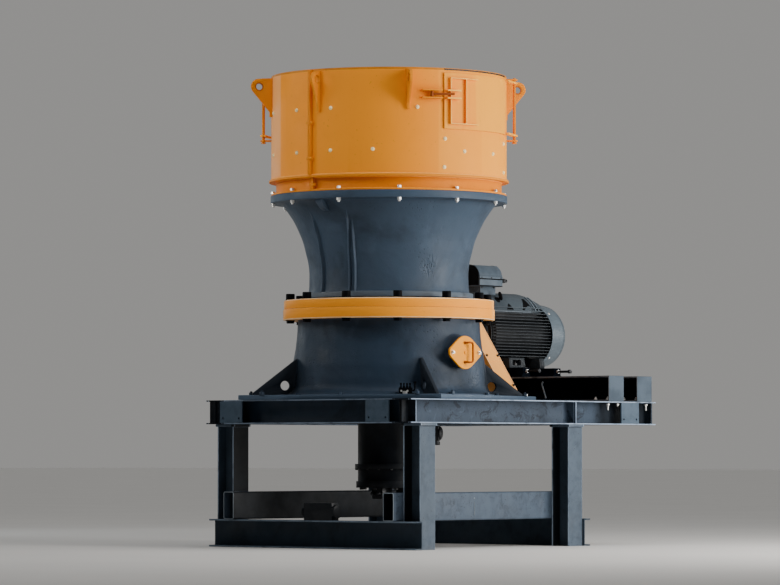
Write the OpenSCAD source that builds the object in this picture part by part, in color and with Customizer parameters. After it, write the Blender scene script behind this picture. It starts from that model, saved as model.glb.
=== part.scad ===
// Cone crusher with feed hopper, drive motor and steel support frame.
// Millimetres, +Z up. The origin is at floor level, at the centre of the four
// anchor holes. +X runs along the motor axis toward the motor, +Y is across.

/* [Frame] */
// Distance between leg centres along X
leg_dx = 1858; // [1838:2:1878]
// Distance between leg centres along Y
leg_dy = 1944; // [1934:2:1954]
// Height of the base channels
channel_h = 220; // [216:1:224]
// Level of the underside of the upper beams
beam_z = 977; // [960:1:990]
// Height of the upper beams
beam_h = 190; // [186:1:194]
// Width of the upper beams
beam_w = 200; // [196:1:204]
// X position of the motor end of the main beams
beam_end = 1996; // [1980:1:2010]
// Height of the two motor beams
motor_beam_h = 210; // [200:1:216]

/* [Crusher] */
// X position of the crusher's vertical axis
axis_x = -143; // [-150:1:-136]
// Half diagonal of the square base plate
plate_r = 1262; // [1250:1:1270]
// Thickness of the base plate
plate_t = 38; // [34:1:42]
// Outer radius of the two clamp rings
ring_r = 848; // [844:1:852]
// Outer radius of the top shell's upper flange
flange_r = 950; // [946:1:954]
// Level of the underside of the lower clamp ring
ring_z = 1808; // [1806:1:1810]
// Level of the top of the top shell
shell_top_z = 2804; // [2802:1:2806]

/* [Hopper] */
// Outer radius of the hopper wall
hopper_r = 945; // [943:1:947]
// Level of the hopper rim
rim_z = 3763; // [3755:1:3770]
// Thickness of the hopper wall
wall_t = 12; // [10:1:14]
// Radius at which the door hinge pins stand
hinge_r = 1008; // [1006:1:1010]

/* [Motor] */
// Y position of the motor axis
motor_y = 270; // [264:1:276]
// Height of the motor axis over the slide rails
motor_h = 280; // [278:1:282]
// Radius of the finned motor housing at the fin roots
frame_r = 226; // [222:1:228]
// Outer radius of the fan cowl
cowl_r = 265; // [262:1:268]

/* [Hidden] */
beam_top = beam_z + beam_h;
lx = leg_dx / 2;
ly = leg_dy / 2;
tip_x = -(lx + 213);
tip_y = ly + beam_w / 2;
plate_top = beam_top + plate_t;
ring_seam = ring_z + 85;
ring_top = ring_z + 158;
mb_top = beam_top + motor_beam_h;
rail_h = 79;
motor_z = mb_top + rail_h + motor_h;
pinion_z = 1425;
// direction, in degrees from +X, of the first corner of the base plate
corner_a = -121;
// directions of the door hinges, right then left
hinge_a = -49.75;
// motor stations along X
m0 = 1117; m1 = 1247; m2 = 1997; m3 = 2217;
foot_x = [1442, 1861];
foot_dy = 228.5;

module crusher() { translate([axis_x, 0, 0]) children(); }
module polar(a, r = 0, z = 0) { rotate([0, 0, a]) translate([r, 0, z]) children(); }
// both ways round the hopper: the right side and, turned half a turn, the left
module both() { for (k = [0, 180]) rotate([0, 0, k]) children(); }

// H or I section, height h along y, flange width w along x
module h_section(h, w, tw, tf) {
  polygon([[-w/2, -h/2], [w/2, -h/2], [w/2, -h/2 + tf], [tw/2, -h/2 + tf],
    [tw/2, h/2 - tf], [w/2, h/2 - tf], [w/2, h/2], [-w/2, h/2],
    [-w/2, h/2 - tf], [-tw/2, h/2 - tf], [-tw/2, -h/2 + tf], [-w/2, -h/2 + tf]]);
}
module along_x(x0, x1) { translate([x0, 0, 0]) rotate([90, 0, 90]) linear_extrude(x1 - x0) children(); }
module along_y(y0, y1) { translate([0, y1, 0]) rotate([90, 0, 0]) linear_extrude(y1 - y0) children(); }
module tube_section(w, h, t, r) {
  difference() {
    union() {
      square([w - 2*r, h], center = true);
      square([w, h - 2*r], center = true);
      for (i = [-1, 1], j = [-1, 1]) translate([i*(w/2 - r), j*(h/2 - r)]) circle(r = r, $fn = 32);
    }
    square([w - 2*t, h - 2*t], center = true);
  }
}
// part of a ring between two directions, as a solid of revolution
module arc_band(r0, r1, z0, z1, a0, a1) {
  rotate([0, 0, a0]) rotate_extrude(angle = a1 - a0, $fn = 128) translate([r0, z0]) square([r1 - r0, z1 - z0]);
}

/* ---- support frame ---- */
module base_channels() {
  color([0.16, 0.19, 0.23])
  for (s = [-1, 1]) difference() {
    along_y(-ly - 106.5, ly + 106.5)
      polygon([[s*(lx + 90), 0], [s*(lx + 170), 0], [s*(lx + 170), 12.5], [s*(lx + 99), 12.5],
        [s*(lx + 99), channel_h - 12.5], [s*(lx + 170), channel_h - 12.5], [s*(lx + 170), channel_h], [s*(lx + 90), channel_h]]);
    for (t = [-1, 1]) translate([s*(lx + 134), t*900, -1]) cylinder(r = 13, h = 15, $fn = 48);
  }
}
module legs() {
  color([0.16, 0.19, 0.23])
  for (s = [-1, 1], t = [-1, 1]) translate([s*lx, t*ly, 0]) {
    linear_extrude(beam_z - 20) h_section(171, 180, 8, 11);
    translate([-100, -100, beam_z - 20]) cube([200, 200, 20]);
  }
}
module cross_tubes() {
  color([0.16, 0.19, 0.23])
  for (t = [-1, 1]) translate([0, t*(ly - 85.5 - 53.5), channel_h + 110])
    along_x(-(lx + 204), lx + 204) tube_section(107, 220, 7, 14);
}
module main_beams() {
  color([0.16, 0.19, 0.23])
  for (t = [-1, 1]) translate([0, t*ly, beam_z + beam_h/2]) {
    along_x(tip_x, beam_end) h_section(beam_h, beam_w, 8, 10);
    // closing plate at the motor end, stiffeners over the rear legs
    translate([beam_end - 28, -78, -beam_h/2 + 10]) cube([8, 156, beam_h - 20]);
    translate([lx - 5, -95, -beam_h/2 + 10]) cube([10, 190, beam_h - 20]);
    // closing plate at the hopper end, set deeper on the right-hand side
    translate([tip_x + (t < 0 ? 85 : 17), -74, -beam_h/2 + 10]) cube([8, 148, beam_h - 20]);
  }
}
module cross_beams() {
  color([0.16, 0.19, 0.23]) {
    for (x = [tip_x + beam_w/2, axis_x + 899, 1646]) translate([x, 0, beam_z + beam_h/2])
      along_y(-(tip_y - beam_w), tip_y - beam_w) h_section(beam_h, beam_w, 8, 10);
  }
}
module bolting_plate() {
  difference() {
    translate([0, -118, -beam_h/2 + 10]) cube([12, 236, beam_h - 20]);
    for (t = [-1, 1]) translate([-1, t*85, -50]) rotate([0, 90, 0]) cylinder(r = 9, h = 14, $fn = 24);
  }
}
module bolting_plates() {
  color([0.18, 0.21, 0.26]) {
    // the first one stands clear of the main beam's end
    translate([tip_x, 802, beam_z + beam_h/2]) bolting_plate();
    translate([tip_x, -725, beam_z + beam_h/2]) bolting_plate();
    for (t = [-1, 1]) translate([1646, t*tip_y, beam_z + beam_h/2]) rotate([0, 0, -t*90]) bolting_plate();
  }
}
module motor_beams() {
  color([0.16, 0.19, 0.23])
  for (x = [1460, 1843]) translate([x, 0, beam_top + motor_beam_h/2]) {
    along_y(-tip_y + 10, tip_y - 10) h_section(motor_beam_h, 200, 9, 15);
    for (t = [-1, 1]) translate([-100, t > 0 ? tip_y - 10 : -tip_y, -motor_beam_h/2]) cube([200, 10, motor_beam_h]);
  }
}
module lube_box() {
  color([0.13, 0.15, 0.18])
  translate([-(lx + 168), -224, channel_h]) {
    cube([80, 290, 136]);
    translate([40, 290, 68]) rotate([-90, 0, 0]) cylinder(r = 40, h = 24, $fn = 48);
    translate([40, 0, 68]) rotate([90, 0, 0]) cylinder(r = 52, h = 26, $fn = 48);
  }
}

/* ---- crusher ---- */
module base_plate() {
  color([0.30, 0.35, 0.41]) crusher()
  translate([0, 0, beam_top]) difference() {
    rotate([0, 0, corner_a]) cylinder(r = plate_r, h = plate_t, $fn = 4);
    translate([0, 0, -1]) cylinder(r = 700, h = plate_t + 2, $fn = 128);
  }
}
module bottom_shell() {
  color([0.27, 0.31, 0.36]) crusher()
  difference() {
    union() {
      rotate_extrude($fn = 128)
        polygon([[848, plate_top], [848, plate_top + 10], [812, plate_top + 30], [792, plate_top + 66],
          [788, 1330], [781, 1375], [774, 1445], [750, 1582], [736, 1700], [732, ring_z],
          [690, ring_z], [694, 1700], [700, 1582], [716, 1445], [720, plate_top]]);
      // cast pads round the pinion housing and the hatch
      rotate([0, 90, 0]) translate([-pinion_z, 0, 640]) cylinder(r = 205, h = 190, $fn = 96);
    }
    translate([0, 0, pinion_z]) rotate([0, 90, 0]) cylinder(r = 150, h = 900, $fn = 96);
    polar(-94.3) translate([600, 0, 1538]) rotate([0, 90, 0]) cylinder(r = 118, h = 260, $fn = 96);
  }
}
// the eccentric's hub on four arms inside the bottom shell
module inner_hub() {
  color([0.25, 0.29, 0.34]) crusher()
  difference() {
    union() {
      translate([0, 0, plate_top + 4]) cylinder(r = 330, h = 300, $fn = 96);
      intersection() {
        union() for (k = [0:3]) polar(corner_a + 90*k + 24) translate([250, -45, plate_top + 4]) cube([500, 90, 204]);
        rotate_extrude($fn = 128) polygon([[240, plate_top], [719.9, plate_top], [715.9, 1445], [240, 1445]]);
      }
    }
    translate([0, 0, plate_top]) cylinder(r = 190, h = 320, $fn = 96);
    translate([0, 0, pinion_z]) rotate([0, 90, 0]) cylinder(r = 150, h = 900, $fn = 96);
    translate([639.9, 0, pinion_z]) rotate([0, 90, 0]) cylinder(r = 205.1, h = 200, $fn = 96);
  }
}
module gusset_ribs() {
  color([0.25, 0.29, 0.34]) crusher()
  for (k = [0:3]) polar(corner_a + 0.5 + 90*k) difference() {
    rotate([90, 0, 0]) linear_extrude(28, center = true)
      polygon([[850, plate_top], [1146, plate_top], [1146, plate_top + 14], [776, 1498], [771, 1470], [784, 1380], [794, 1290], [797, plate_top + 66], [816, plate_top + 33], [850, plate_top + 14]]);
    translate([876, 20, 1282]) rotate([90, 0, 0]) cylinder(r = 38, h = 40, $fn = 48);
  }
}
module hatch_neck() {
  color([0.27, 0.31, 0.36]) crusher()
  polar(-94.3) translate([690, 0, 1538]) rotate([0, 90, 0]) difference() {
    cylinder(r = 117.5, h = 138, $fn = 96);
    translate([0, 0, -1]) cylinder(r = 92, h = 140, $fn = 96);
  }
}
module hatch_cover() {
  color([0.90, 0.55, 0.20]) crusher()
  polar(-94.3) translate([828, 0, 1538]) {
    rotate([0, 90, 0]) linear_extrude(20) hull() {
      circle(r = 131, $fn = 64);
      for (t = [-1, 1]) translate([0, t*149]) circle(r = 31, $fn = 48);
    }
    // bail handle
    for (t = [-1, 1]) {
      translate([18, -8, t*76]) rotate([0, 90, 0]) cylinder(r = 9, h = 28, $fn = 24);
      translate([37, -17, t*76]) rotate([-90, 0, 0]) cylinder(r = 8, h = 63, $fn = 24);
    }
    translate([37, 46, -84]) cylinder(r = 8, h = 168, $fn = 24);
  }
}
module lower_clamp_ring() {
  color([0.88, 0.54, 0.20]) crusher()
  translate([0, 0, ring_z]) difference() {
    cylinder(r = ring_r, h = ring_seam - ring_z, $fn = 128);
    translate([0, 0, -1]) cylinder(r = 690, h = 100, $fn = 128);
  }
}
module upper_clamp_ring() {
  color([0.88, 0.54, 0.20]) crusher()
  translate([0, 0, ring_seam]) difference() {
    cylinder(r = ring_r - 6, h = ring_top - ring_seam, $fn = 128);
    translate([0, 0, -1]) cylinder(r = 620, h = 100, $fn = 128);
  }
}
// outline of the top shell, outside then inside
module top_shell() {
  color([0.27, 0.31, 0.36]) crusher() {
    difference() {
      union() {
        rotate_extrude($fn = 128)
          polygon([[704, ring_top], [672, ring_top + 14], [650, ring_top + 44], [640, 2086], [640, 2200], [650, 2279], [662, 2327], [674, 2375],
            [687, 2424], [704, 2472], [725, 2520], [748, 2569], [774, 2617], [806, 2665], [836, shell_top_z - 90], [860, shell_top_z - 60],
            [flange_r, shell_top_z - 60], [flange_r, shell_top_z], [840, shell_top_z],
            [800, 2700], [700, 2560], [640, 2440], [606, 2290], [598, ring_top]]);
        // cast ridges down the outside, fading into the foot
        for (a = [167.5, -167.4, -163.4], h = [0, 180])
          polar(a + h) rotate([90, 0, 0]) linear_extrude(22, center = true)
            polygon([[620, 2000], [662, 2010], [664, 2240], [680, 2360], [712, 2470], [760, 2570], [812, 2650], [850, 2728], [800, 2728], [650, 2400], [625, 2200]]);
        // small gussets under the flange
        for (a = [-178, 2])
          polar(a) rotate([90, 0, 0]) linear_extrude(60, center = true)
            polygon([[800, shell_top_z - 62], [905, shell_top_z - 62], [905, shell_top_z - 84], [825, 2650], [790, 2650]]);
      }
    }
  }
}
module spider() {
  color([0.22, 0.25, 0.29]) crusher()
  difference() {
    union() {
      translate([0, 0, 2540]) cylinder(r = 215, h = 290, $fn = 96);
      intersection() {
        union() for (k = [0, 180]) rotate([0, 0, -40 + k]) rotate([90, 0, 0]) linear_extrude(150, center = true)
          polygon([[150, 2560], [560, 2600], [900, 2640], [900, 2780], [500, 2800], [150, 2820]]);
        // arms end just short of the shell's inner wall
        rotate_extrude($fn = 128) polygon([[0, 2500], [655, 2500], [699.6, 2560], [799.6, 2700], [837.2, 2798], [837.2, 2840], [0, 2840]]);
      }
    }
    translate([0, 0, 2530]) cylinder(r = 131, h = 310, $fn = 96);
  }
}
module spider_cap() {
  color([0.20, 0.23, 0.27]) crusher()
  rotate_extrude($fn = 96) polygon([[0, 2830], [210, 2830], [210, 2850], [190, 2885], [150, 2915], [90, 2935], [0, 2942]]);
}
module concave() {
  color([0.33, 0.33, 0.34]) crusher()
  rotate_extrude($fn = 128) polygon([[596, 1976], [604, 2288], [636, 2438], [590, 2438], [520, 2300], [515, 2180], [545, 2060], [572, 1976]]);
}
module mantle() {
  color([0.36, 0.36, 0.37]) crusher()
  rotate_extrude($fn = 128) polygon([[132, 2500], [132, 1880], [560, 1880], [548, 1930], [500, 2050], [440, 2180], [360, 2300], [270, 2410], [200, 2480], [170, 2500]]);
}
module main_shaft() {
  color([0.45, 0.47, 0.50]) crusher() {
    translate([0, 0, 1240]) cylinder(r = 130, h = 1580, $fn = 96);
    // eccentric sleeve and its drive gear round the shaft
    translate([0, 0, 1515]) cylinder(r = 320, h = 90, $fn = 96);
    translate([0, 0, 1250]) cylinder(r = 186, h = 300, $fn = 96);
  }
}
module step_cylinder() {
  color([0.10, 0.11, 0.13]) crusher() {
    translate([0, 0, 520]) cylinder(r = 248, h = plate_top + 4 - 520, $fn = 96);
    translate([0, 0, 1060]) cylinder(r = 330, h = 60, $fn = 96);
    translate([0, 0, 620]) cylinder(r = 272, h = 40, $fn = 96);
    translate([0, 0, 470]) cylinder(r = 262, h = 52, $fn = 96);
  }
}
module cylinder_fittings() {
  color([0.12, 0.13, 0.15]) crusher() {
    // valve block and position sensor under the cylinder
    translate([-150, -60, 380]) cube([120, 110, 90]);
    translate([-30, -190, 300]) cube([70, 90, 170]);
    // oil return elbow beside the cylinder
    difference() {
      polar(-60) translate([225, 0, 905]) rotate([0, 90, 0]) cylinder(r = 52, h = 202, $fn = 48);
      translate([0, 0, 840]) cylinder(r = 248.1, h = 130, $fn = 96);
    }
    polar(-60) translate([400, -40, 810]) cube([60, 80, 95]);
  }
}
module pinion_housing() {
  color([0.27, 0.31, 0.36]) crusher()
  translate([0, 0, pinion_z]) rotate([0, 90, 0]) difference() {
    union() {
      translate([0, 0, 560]) cylinder(r = 149.5, h = 400, $fn = 96);
      translate([0, 0, 830]) cylinder(r = 185, h = 34, $fn = 96);
    }
    translate([0, 0, 550]) cylinder(r = 61, h = 420, $fn = 96);
  }
}
module pinion_shaft() {
  color([0.5, 0.52, 0.55]) crusher()
  translate([480, 0, pinion_z]) rotate([0, 90, 0]) cylinder(r = 60, h = 703, $fn = 96);
}
// grooved sheave standing on the YZ plane, with its bore
module sheave(r, w, bore) {
  rotate([0, 90, 0]) difference() {
    rotate_extrude($fn = 96)
      polygon(concat([[bore, 0], [r, 0]],
        [for (i = [0:4]) each [[r, 8 + i*(w - 12)/5], [r - 20, 14 + i*(w - 12)/5], [r - 20, 22 + i*(w - 12)/5], [r, (i + 1)*(w - 12)/5 + 4]]],
        [[r, w], [bore, w], [bore, w]]));
    for (k = [0:3]) rotate([0, 0, 45 + 90*k]) translate([(r + bore)/2 - 6, 0, -1]) cylinder(r = (r - bore)/6, h = w + 2, $fn = 32);
  }
}
crusher_sheave_r = 152; motor_sheave_r = 118;
module crusher_sheave() {
  color([0.2, 0.2, 0.22]) translate([898, 0, pinion_z]) sheave(crusher_sheave_r, 130, 60.2);
}
module motor_sheave() {
  color([0.2, 0.2, 0.22]) translate([898, motor_y, motor_z]) sheave(motor_sheave_r, 130, 38.2);
}
// five flat loops round both sheaves
belt_d = sqrt(pow(motor_y, 2) + pow(motor_z - pinion_z, 2));
belt_a = atan2(motor_z - pinion_z, motor_y);
belt_b = asin((crusher_sheave_r - motor_sheave_r) / belt_d);
module belt_outline(g) {
  // pulleys in the YZ plane, the straight runs are common tangents
  ra = crusher_sheave_r + g; rb = motor_sheave_r + g;
  circle(r = ra, $fn = 96);
  translate([belt_d, 0]) circle(r = rb, $fn = 96);
  polygon([[ra*sin(belt_b), ra*cos(belt_b)], [belt_d + rb*sin(belt_b), rb*cos(belt_b)],
    [belt_d + rb*sin(belt_b), -rb*cos(belt_b)], [ra*sin(belt_b), -ra*cos(belt_b)]]);
}
module drive_belts() {
  color([0.06, 0.06, 0.06])
  for (i = [0:4]) translate([898 + 8 + i*23.6, 0, pinion_z]) rotate([90, 0, 90]) rotate([0, 0, belt_a])
    linear_extrude(15) difference() { belt_outline(9); belt_outline(0.6); }
}
// belt guard, a closed sheet box round both sheaves, wide at its foot
module guard_outline() {
  polygon([[-386, 1214], [57, 1873], [108, 1926], [200, 1950], [330, 1950], [430, 1905], [480, 1820], [480, 1640], [330, 1214]]);
}
guard_x = 878; guard_w = 184;
module guard_shell() {
  translate([guard_x, 0, 0]) rotate([90, 0, 90]) difference() {
    linear_extrude(guard_w) guard_outline();
    translate([0, 0, 4]) linear_extrude(guard_w - 8) translate([110, 1560]) scale(0.985) translate([-110, -1560]) guard_outline();
    // shaft holes
    translate([0, pinion_z, -1]) cylinder(r = 75, h = 60, $fn = 64);
    translate([motor_y, motor_z, 130]) cylinder(r = 60, h = 80, $fn = 64);
  }
}
guard_seam = 1508;
// bolted lip along the seam of the two halves, on the face toward the crusher
module guard_flange() {
  difference() {
    translate([guard_x - 8, -140, 0]) cube([12, 560, 8]);
    translate([guard_x - 10, -95, -1]) cube([40, 190, 10]);
  }
}
module belt_guard_upper() {
  color([0.93, 0.68, 0.45])
  union() {
    intersection() {
      guard_shell();
      translate([800, -600, guard_seam]) cube([400, 1400, 700]);
    }
    translate([0, 0, guard_seam]) guard_flange();
  }
}
module belt_guard_lower() {
  color([0.93, 0.68, 0.45])
  union() {
    intersection() {
      guard_shell();
      translate([800, -600, guard_seam - 500]) cube([400, 1400, 500]);
    }
    translate([0, 0, guard_seam - 8]) guard_flange();
  }
}

/* ---- motor ---- */
module slide_rails() {
  color([0.14, 0.16, 0.19])
  for (x = foot_x) translate([x, 0, mb_top]) {
    // rail with two upright cheeks and a foot at each end
    translate([-55, motor_y - 420, 0]) cube([110, 840, 18]);
    for (s = [-1, 1]) translate([s*36 - 9, motor_y - 420, 17]) cube([18, 840, rail_h - 17]);
    for (t = [-1, 1]) translate([-45, motor_y + t*412 - 8, 17]) cube([90, 16, rail_h - 17]);
  }
}
module adjusting_screws() {
  color([0.35, 0.36, 0.38])
  for (x = foot_x) translate([x, 0, mb_top + 50]) difference() {
    union() {
      // screw through the rail's end and into the foot's block
      translate([0, -292, 0]) rotate([-90, 0, 0]) cylinder(r = 10, h = 330, $fn = 24);
      translate([0, -292, 0]) rotate([-90, 0, 0]) cylinder(r = 18, h = 22, $fn = 6);
    }
    translate([-50, motor_y - 420.5, -60]) cube([100, 17, 120]);
  }
}
hood_z = 164; hood_r = 186; fin_pitch = 25.4;
// one cooling fin at height h over the axis
module fin(h, t) {
  w = 254 - 0.00125*h*h;
  inner = abs(h) < 216 ? sqrt(frame_r*frame_r - h*h) - 14 : 90;
  translate([m1 + 8, t > 0 ? inner : -w, h - 3.5]) cube([m2 - m1 - 16, w - inner, 7]);
}
module motor_housing() {
  color([0.20, 0.23, 0.27])
  translate([0, motor_y, motor_z]) union() {
    rotate([0, 90, 0]) translate([0, 0, m1]) cylinder(r = frame_r, h = m2 - m1, $fn = 96);
    // smooth hood along the top, its tail resting over the cowl
    difference() {
      translate([0, 0, hood_z]) rotate([0, 90, 0]) rotate_extrude($fn = 96)
        polygon([[0, m1], [hood_r, m1], [hood_r, m2 - 190], [hood_r - 12, m2 - 110], [hood_r - 36, m2 - 20], [hood_r - 60, m2 + 60], [hood_r - 80, m2 + 113], [0, m2 + 113]]);
      translate([m2 - 0.3, 0, 0]) rotate([0, 90, 0]) cylinder(r = cowl_r + 0.3, h = 200, $fn = 96);
    }
    // level cooling fins on both sides, their tips following a flat curve
    for (k = [0:16], t = [-1, 1]) fin(-178 + k*fin_pitch, t);
  }
}
module motor_feet() {
  color([0.20, 0.23, 0.27])
  for (q = [[1392, 208], [1800, 62]], t = [0, 1]) translate([q[0], motor_y, mb_top + rail_h]) mirror([0, t, 0]) difference() {
    rotate([90, 0, 90]) linear_extrude(q[1])
      polygon([[96, 40], [foot_dy - 60, 0], [foot_dy + 54, 0], [foot_dy + 54, 26], [foot_dy + 46, 84], [96, 84]]);
    // window through the wide foot, bolt hole
    if (q[1] > 150) translate([44, foot_dy - 20, 20]) cube([112, 90, 46]);
    translate([q[1]/2, foot_dy + 28, -1]) cylinder(r = 12, h = 19, $fn = 24);
    // the housing's own round
    translate([-10, 0, motor_h]) rotate([0, 90, 0]) cylinder(r = frame_r + 0.2, h = q[1] + 20, $fn = 96);
    // and its lowest fins
    translate([-10, 60, 84]) cube([q[1] + 20, 200, 60]);
  }
}
module drive_end_shield() {
  color([0.20, 0.23, 0.27])
  translate([m0, motor_y, motor_z]) rotate([0, 90, 0]) difference() {
    rotate_extrude($fn = 96) polygon([[40, 0], [95, 0], [110, 20], [118, 52], [168, 76], [190, 96], [196, 108], [222, 108], [222, m1 - m0], [40, m1 - m0]]);
    translate([0, 0, -1]) cylinder(r = 39, h = 200, $fn = 64);
  }
}
module motor_shaft() {
  color([0.55, 0.57, 0.6])
  translate([m0 - 212, motor_y, motor_z]) rotate([0, 90, 0]) cylinder(r = 38, h = 342, $fn = 64);
}
module fan_cowl() {
  color([0.25, 0.28, 0.33])
  translate([m2, motor_y, motor_z]) rotate([0, 90, 0])
    rotate_extrude($fn = 96) polygon([[0, 150], [0, 220], [150, 220], [215, 212], [245, 196], [260, 170], [265, 140], [265, 0], [261, 0], [261, 138], [255, 166], [240, 190], [205, 206], [205, 150]]);
}
module terminal_box() {
  color([0.28, 0.32, 0.37])
  translate([1352, motor_y, motor_z]) {
    // pedestal on the hood, box and domed lid
    difference() {
      translate([-100, -84, hood_z]) cube([200, 168, 236]);
      translate([-120, 0, hood_z]) rotate([0, 90, 0]) cylinder(r = hood_r + 0.1, h = 240, $fn = 96);
    }
    translate([-150, -120, 398]) cube([300, 240, 84]);
    translate([-150, 0, 470]) rotate([0, 90, 0]) intersection() {
      cylinder(r = 119, h = 300, $fn = 96);
      translate([-104, -119, 0]) cube([104, 238, 300]);
    }
  }
}

/* ---- hopper ---- */
module hopper_skirt() {
  color([0.80, 0.46, 0.14]) crusher()
  rotate_extrude($fn = 128) polygon([[flange_r - 6, shell_top_z], [flange_r - 6, shell_top_z + 14], [905, shell_top_z + 14], [905, 2910],
    [893, 2910], [893, shell_top_z + 14], [852, shell_top_z + 14], [852, shell_top_z]]);
}
module hopper_ring() {
  color([0.84, 0.50, 0.18]) crusher()
  rotate_extrude($fn = 128) translate([885, 2910]) square([78, 18]);
}
// door opening in the wall, seen as an arc between two directions
open_a0 = -110.75; open_a1 = -63.75; open_z0 = 3312; open_z1 = rim_z - 62;
module door_gap(r0, r1) {
  both() arc_band(r0, r1, open_z0, open_z1, open_a0, open_a1);
}
module hopper_wall() {
  color([0.82, 0.50, 0.17]) crusher()
  difference() {
    rotate_extrude($fn = 128) translate([hopper_r - wall_t, 2928]) square([wall_t, rim_z - 2928]);
    door_gap(hopper_r - 40, hopper_r + 20);
  }
}
module hopper_liner() {
  color([0.30, 0.27, 0.25]) crusher()
  difference() {
    rotate_extrude($fn = 128) translate([hopper_r - wall_t - 20, 2932]) square([19.7, rim_z - 2932 - 30]);
    door_gap(hopper_r - 60, hopper_r + 20);
  }
}
module joint_flanges() {
  color([0.82, 0.46, 0.14]) crusher()
  for (a = [180, 0], t = [-1, 1]) rotate([0, 0, a]) {
    translate([hopper_r, t > 0 ? 1 : -11, 2928]) cube([33, 10, rim_z - 2928 - 4]);
    translate([905, t > 0 ? 1 : -11, shell_top_z + 14]) cube([33, 10, 2910 - shell_top_z - 14]);
  }
}
module lug(l, h, t) {
  rotate([90, 0, 0]) linear_extrude(t, center = true) difference() {
    union() {
      translate([hopper_r + l - 62, rim_z - 86]) circle(r = 62, $fn = 64);
      polygon([[hopper_r, rim_z - 18], [hopper_r + l - 58, rim_z - 24.5], [hopper_r + l - 10, rim_z - 120],
        [hopper_r + 22, rim_z - h + 40], [hopper_r + 22, rim_z - h], [hopper_r, rim_z - h]]);
    }
    translate([hopper_r + l - 66, rim_z - 88]) circle(r = 34, $fn = 48);
    // nothing reaches into the hopper's wall
    translate([hopper_r - 200, rim_z - 400]) square([200, 500]);
  }
}
module lifting_lugs() {
  color([0.80, 0.47, 0.14]) crusher() {
    for (a = [-130.75, -40.75, 49.25, 139.25]) rotate([0, 0, a]) lug(172, 330, 24);
    // two upright plates beside the joint flanges
    for (a = [-175, 5]) rotate([0, 0, a]) lug(110, 340, 20);
  }
}
// hinge brackets stand on the hopper, over and under the door's arms
module hinge_brackets() {
  color([0.80, 0.47, 0.14]) crusher() both()
  for (z = [rim_z - 26, 3246]) difference() {
    union() {
      polar(hinge_a, hinge_r, z) cylinder(r = 26, h = 12, $fn = 48);
      polar(hinge_a) translate([hopper_r - 4, -34, z]) cube([hinge_r - hopper_r + 4, 60, 12]);
    }
    polar(hinge_a, hinge_r, z - 1) cylinder(r = 12, h = 14, $fn = 48);
    translate([0, 0, z - 1]) cylinder(r = hopper_r + 0.05, h = 14, $fn = 128);
  }
}
module hinge_pins() {
  color([0.70, 0.38, 0.12]) crusher() both() {
    polar(hinge_a, hinge_r, 3230) cylinder(r = 11.95, h = rim_z - 3230 - 6, $fn = 48);
    polar(hinge_a, hinge_r, 3230) cylinder(r = 18, h = 10, $fn = 48);
  }
}
latch_z = 3553;
module latch_brackets() {
  color([0.80, 0.47, 0.14]) crusher() both()
  for (z = [latch_z - 36, latch_z + 24])
    arc_band(hopper_r + 0.05, hopper_r + 52, z, z + 12, -124.5, -114.5);
}
module latch_bolts() {
  color([0.35, 0.22, 0.14]) crusher() both() {
    polar(-119.5) translate([hopper_r + 30, 0, latch_z - 24]) cylinder(r = 12, h = 48, $fn = 32);
    polar(-119.5) translate([hopper_r + 30, 0, latch_z]) rotate([-90, 0, -14]) cylinder(r = 10, h = 178, $fn = 24);
  }
}
// curved door leaf with standing ribs, latch fork and two hinge arms
door_r = hopper_r + 6; door_rm = door_r + 5; door_a0 = -112.75; door_a1 = -61.75; door_z0 = 3286; door_z1 = rim_z - 40;
module door() {
  difference() {
    union() {
      arc_band(door_r, door_r + 10, door_z0, door_z1, door_a0, door_a1);
      // upright ribs and the short top and bottom ribs
      for (a = [-109.9, -101.4]) polar(a) translate([door_r + 5, -4, door_z0 + 36]) cube([30, 8, door_z1 - door_z0 - 72]);
      for (z = [door_z0 + 36, door_z1 - 44]) arc_band(door_r + 8, door_r + 35, z, z + 8, -109.9, -94);
      // latch fork
      for (z = [latch_z - 36, latch_z + 24]) arc_band(door_r + 8, door_r + 62, z, z + 12, -112.5, -105.5);
      // hinge arms, each a bent flat from the leaf's edge to the pin's eye
      for (z = [door_z0, door_z1 - 14]) {
        polar(hinge_a, 0, z) linear_extrude(14) polygon([[door_rm*cos(15), -door_rm*sin(15)], [door_rm*cos(12.3), -door_rm*sin(12.3)],
          [hinge_r - 20, -12], [hinge_r, 0], [hinge_r + 22, -12], [(door_rm + 34)*cos(15), -(door_rm + 34)*sin(15)]]);
        polar(hinge_a, hinge_r, z) cylinder(r = 26, h = 14, $fn = 48);
      }
    }
    polar(hinge_a, hinge_r, door_z0 - 5) cylinder(r = 12, h = door_z1 - door_z0 + 10, $fn = 48);
  }
}
module right_door() { color([0.88, 0.58, 0.26]) crusher() door(); }
module left_door() { color([0.80, 0.50, 0.18]) crusher() rotate([0, 0, 180]) door(); }

base_channels();
legs();
cross_tubes();
main_beams();
cross_beams();
bolting_plates();
motor_beams();
lube_box();
base_plate();
bottom_shell();
inner_hub();
gusset_ribs();
hatch_neck();
hatch_cover();
lower_clamp_ring();
upper_clamp_ring();
top_shell();
spider();
spider_cap();
concave();
mantle();
main_shaft();
step_cylinder();
cylinder_fittings();
pinion_housing();
pinion_shaft();
crusher_sheave();
motor_sheave();
drive_belts();
belt_guard_upper();
belt_guard_lower();
slide_rails();
adjusting_screws();
motor_housing();
motor_feet();
drive_end_shield();
motor_shaft();
fan_cowl();
terminal_box();
hopper_skirt();
hopper_ring();
hopper_wall();
hopper_liner();
joint_flanges();
lifting_lugs();
hinge_brackets();
hinge_pins();
latch_brackets();
latch_bolts();
right_door();
left_door();
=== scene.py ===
import bpy, bmesh, math, random
from mathutils import Vector, Matrix, noise as mnoise


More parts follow.
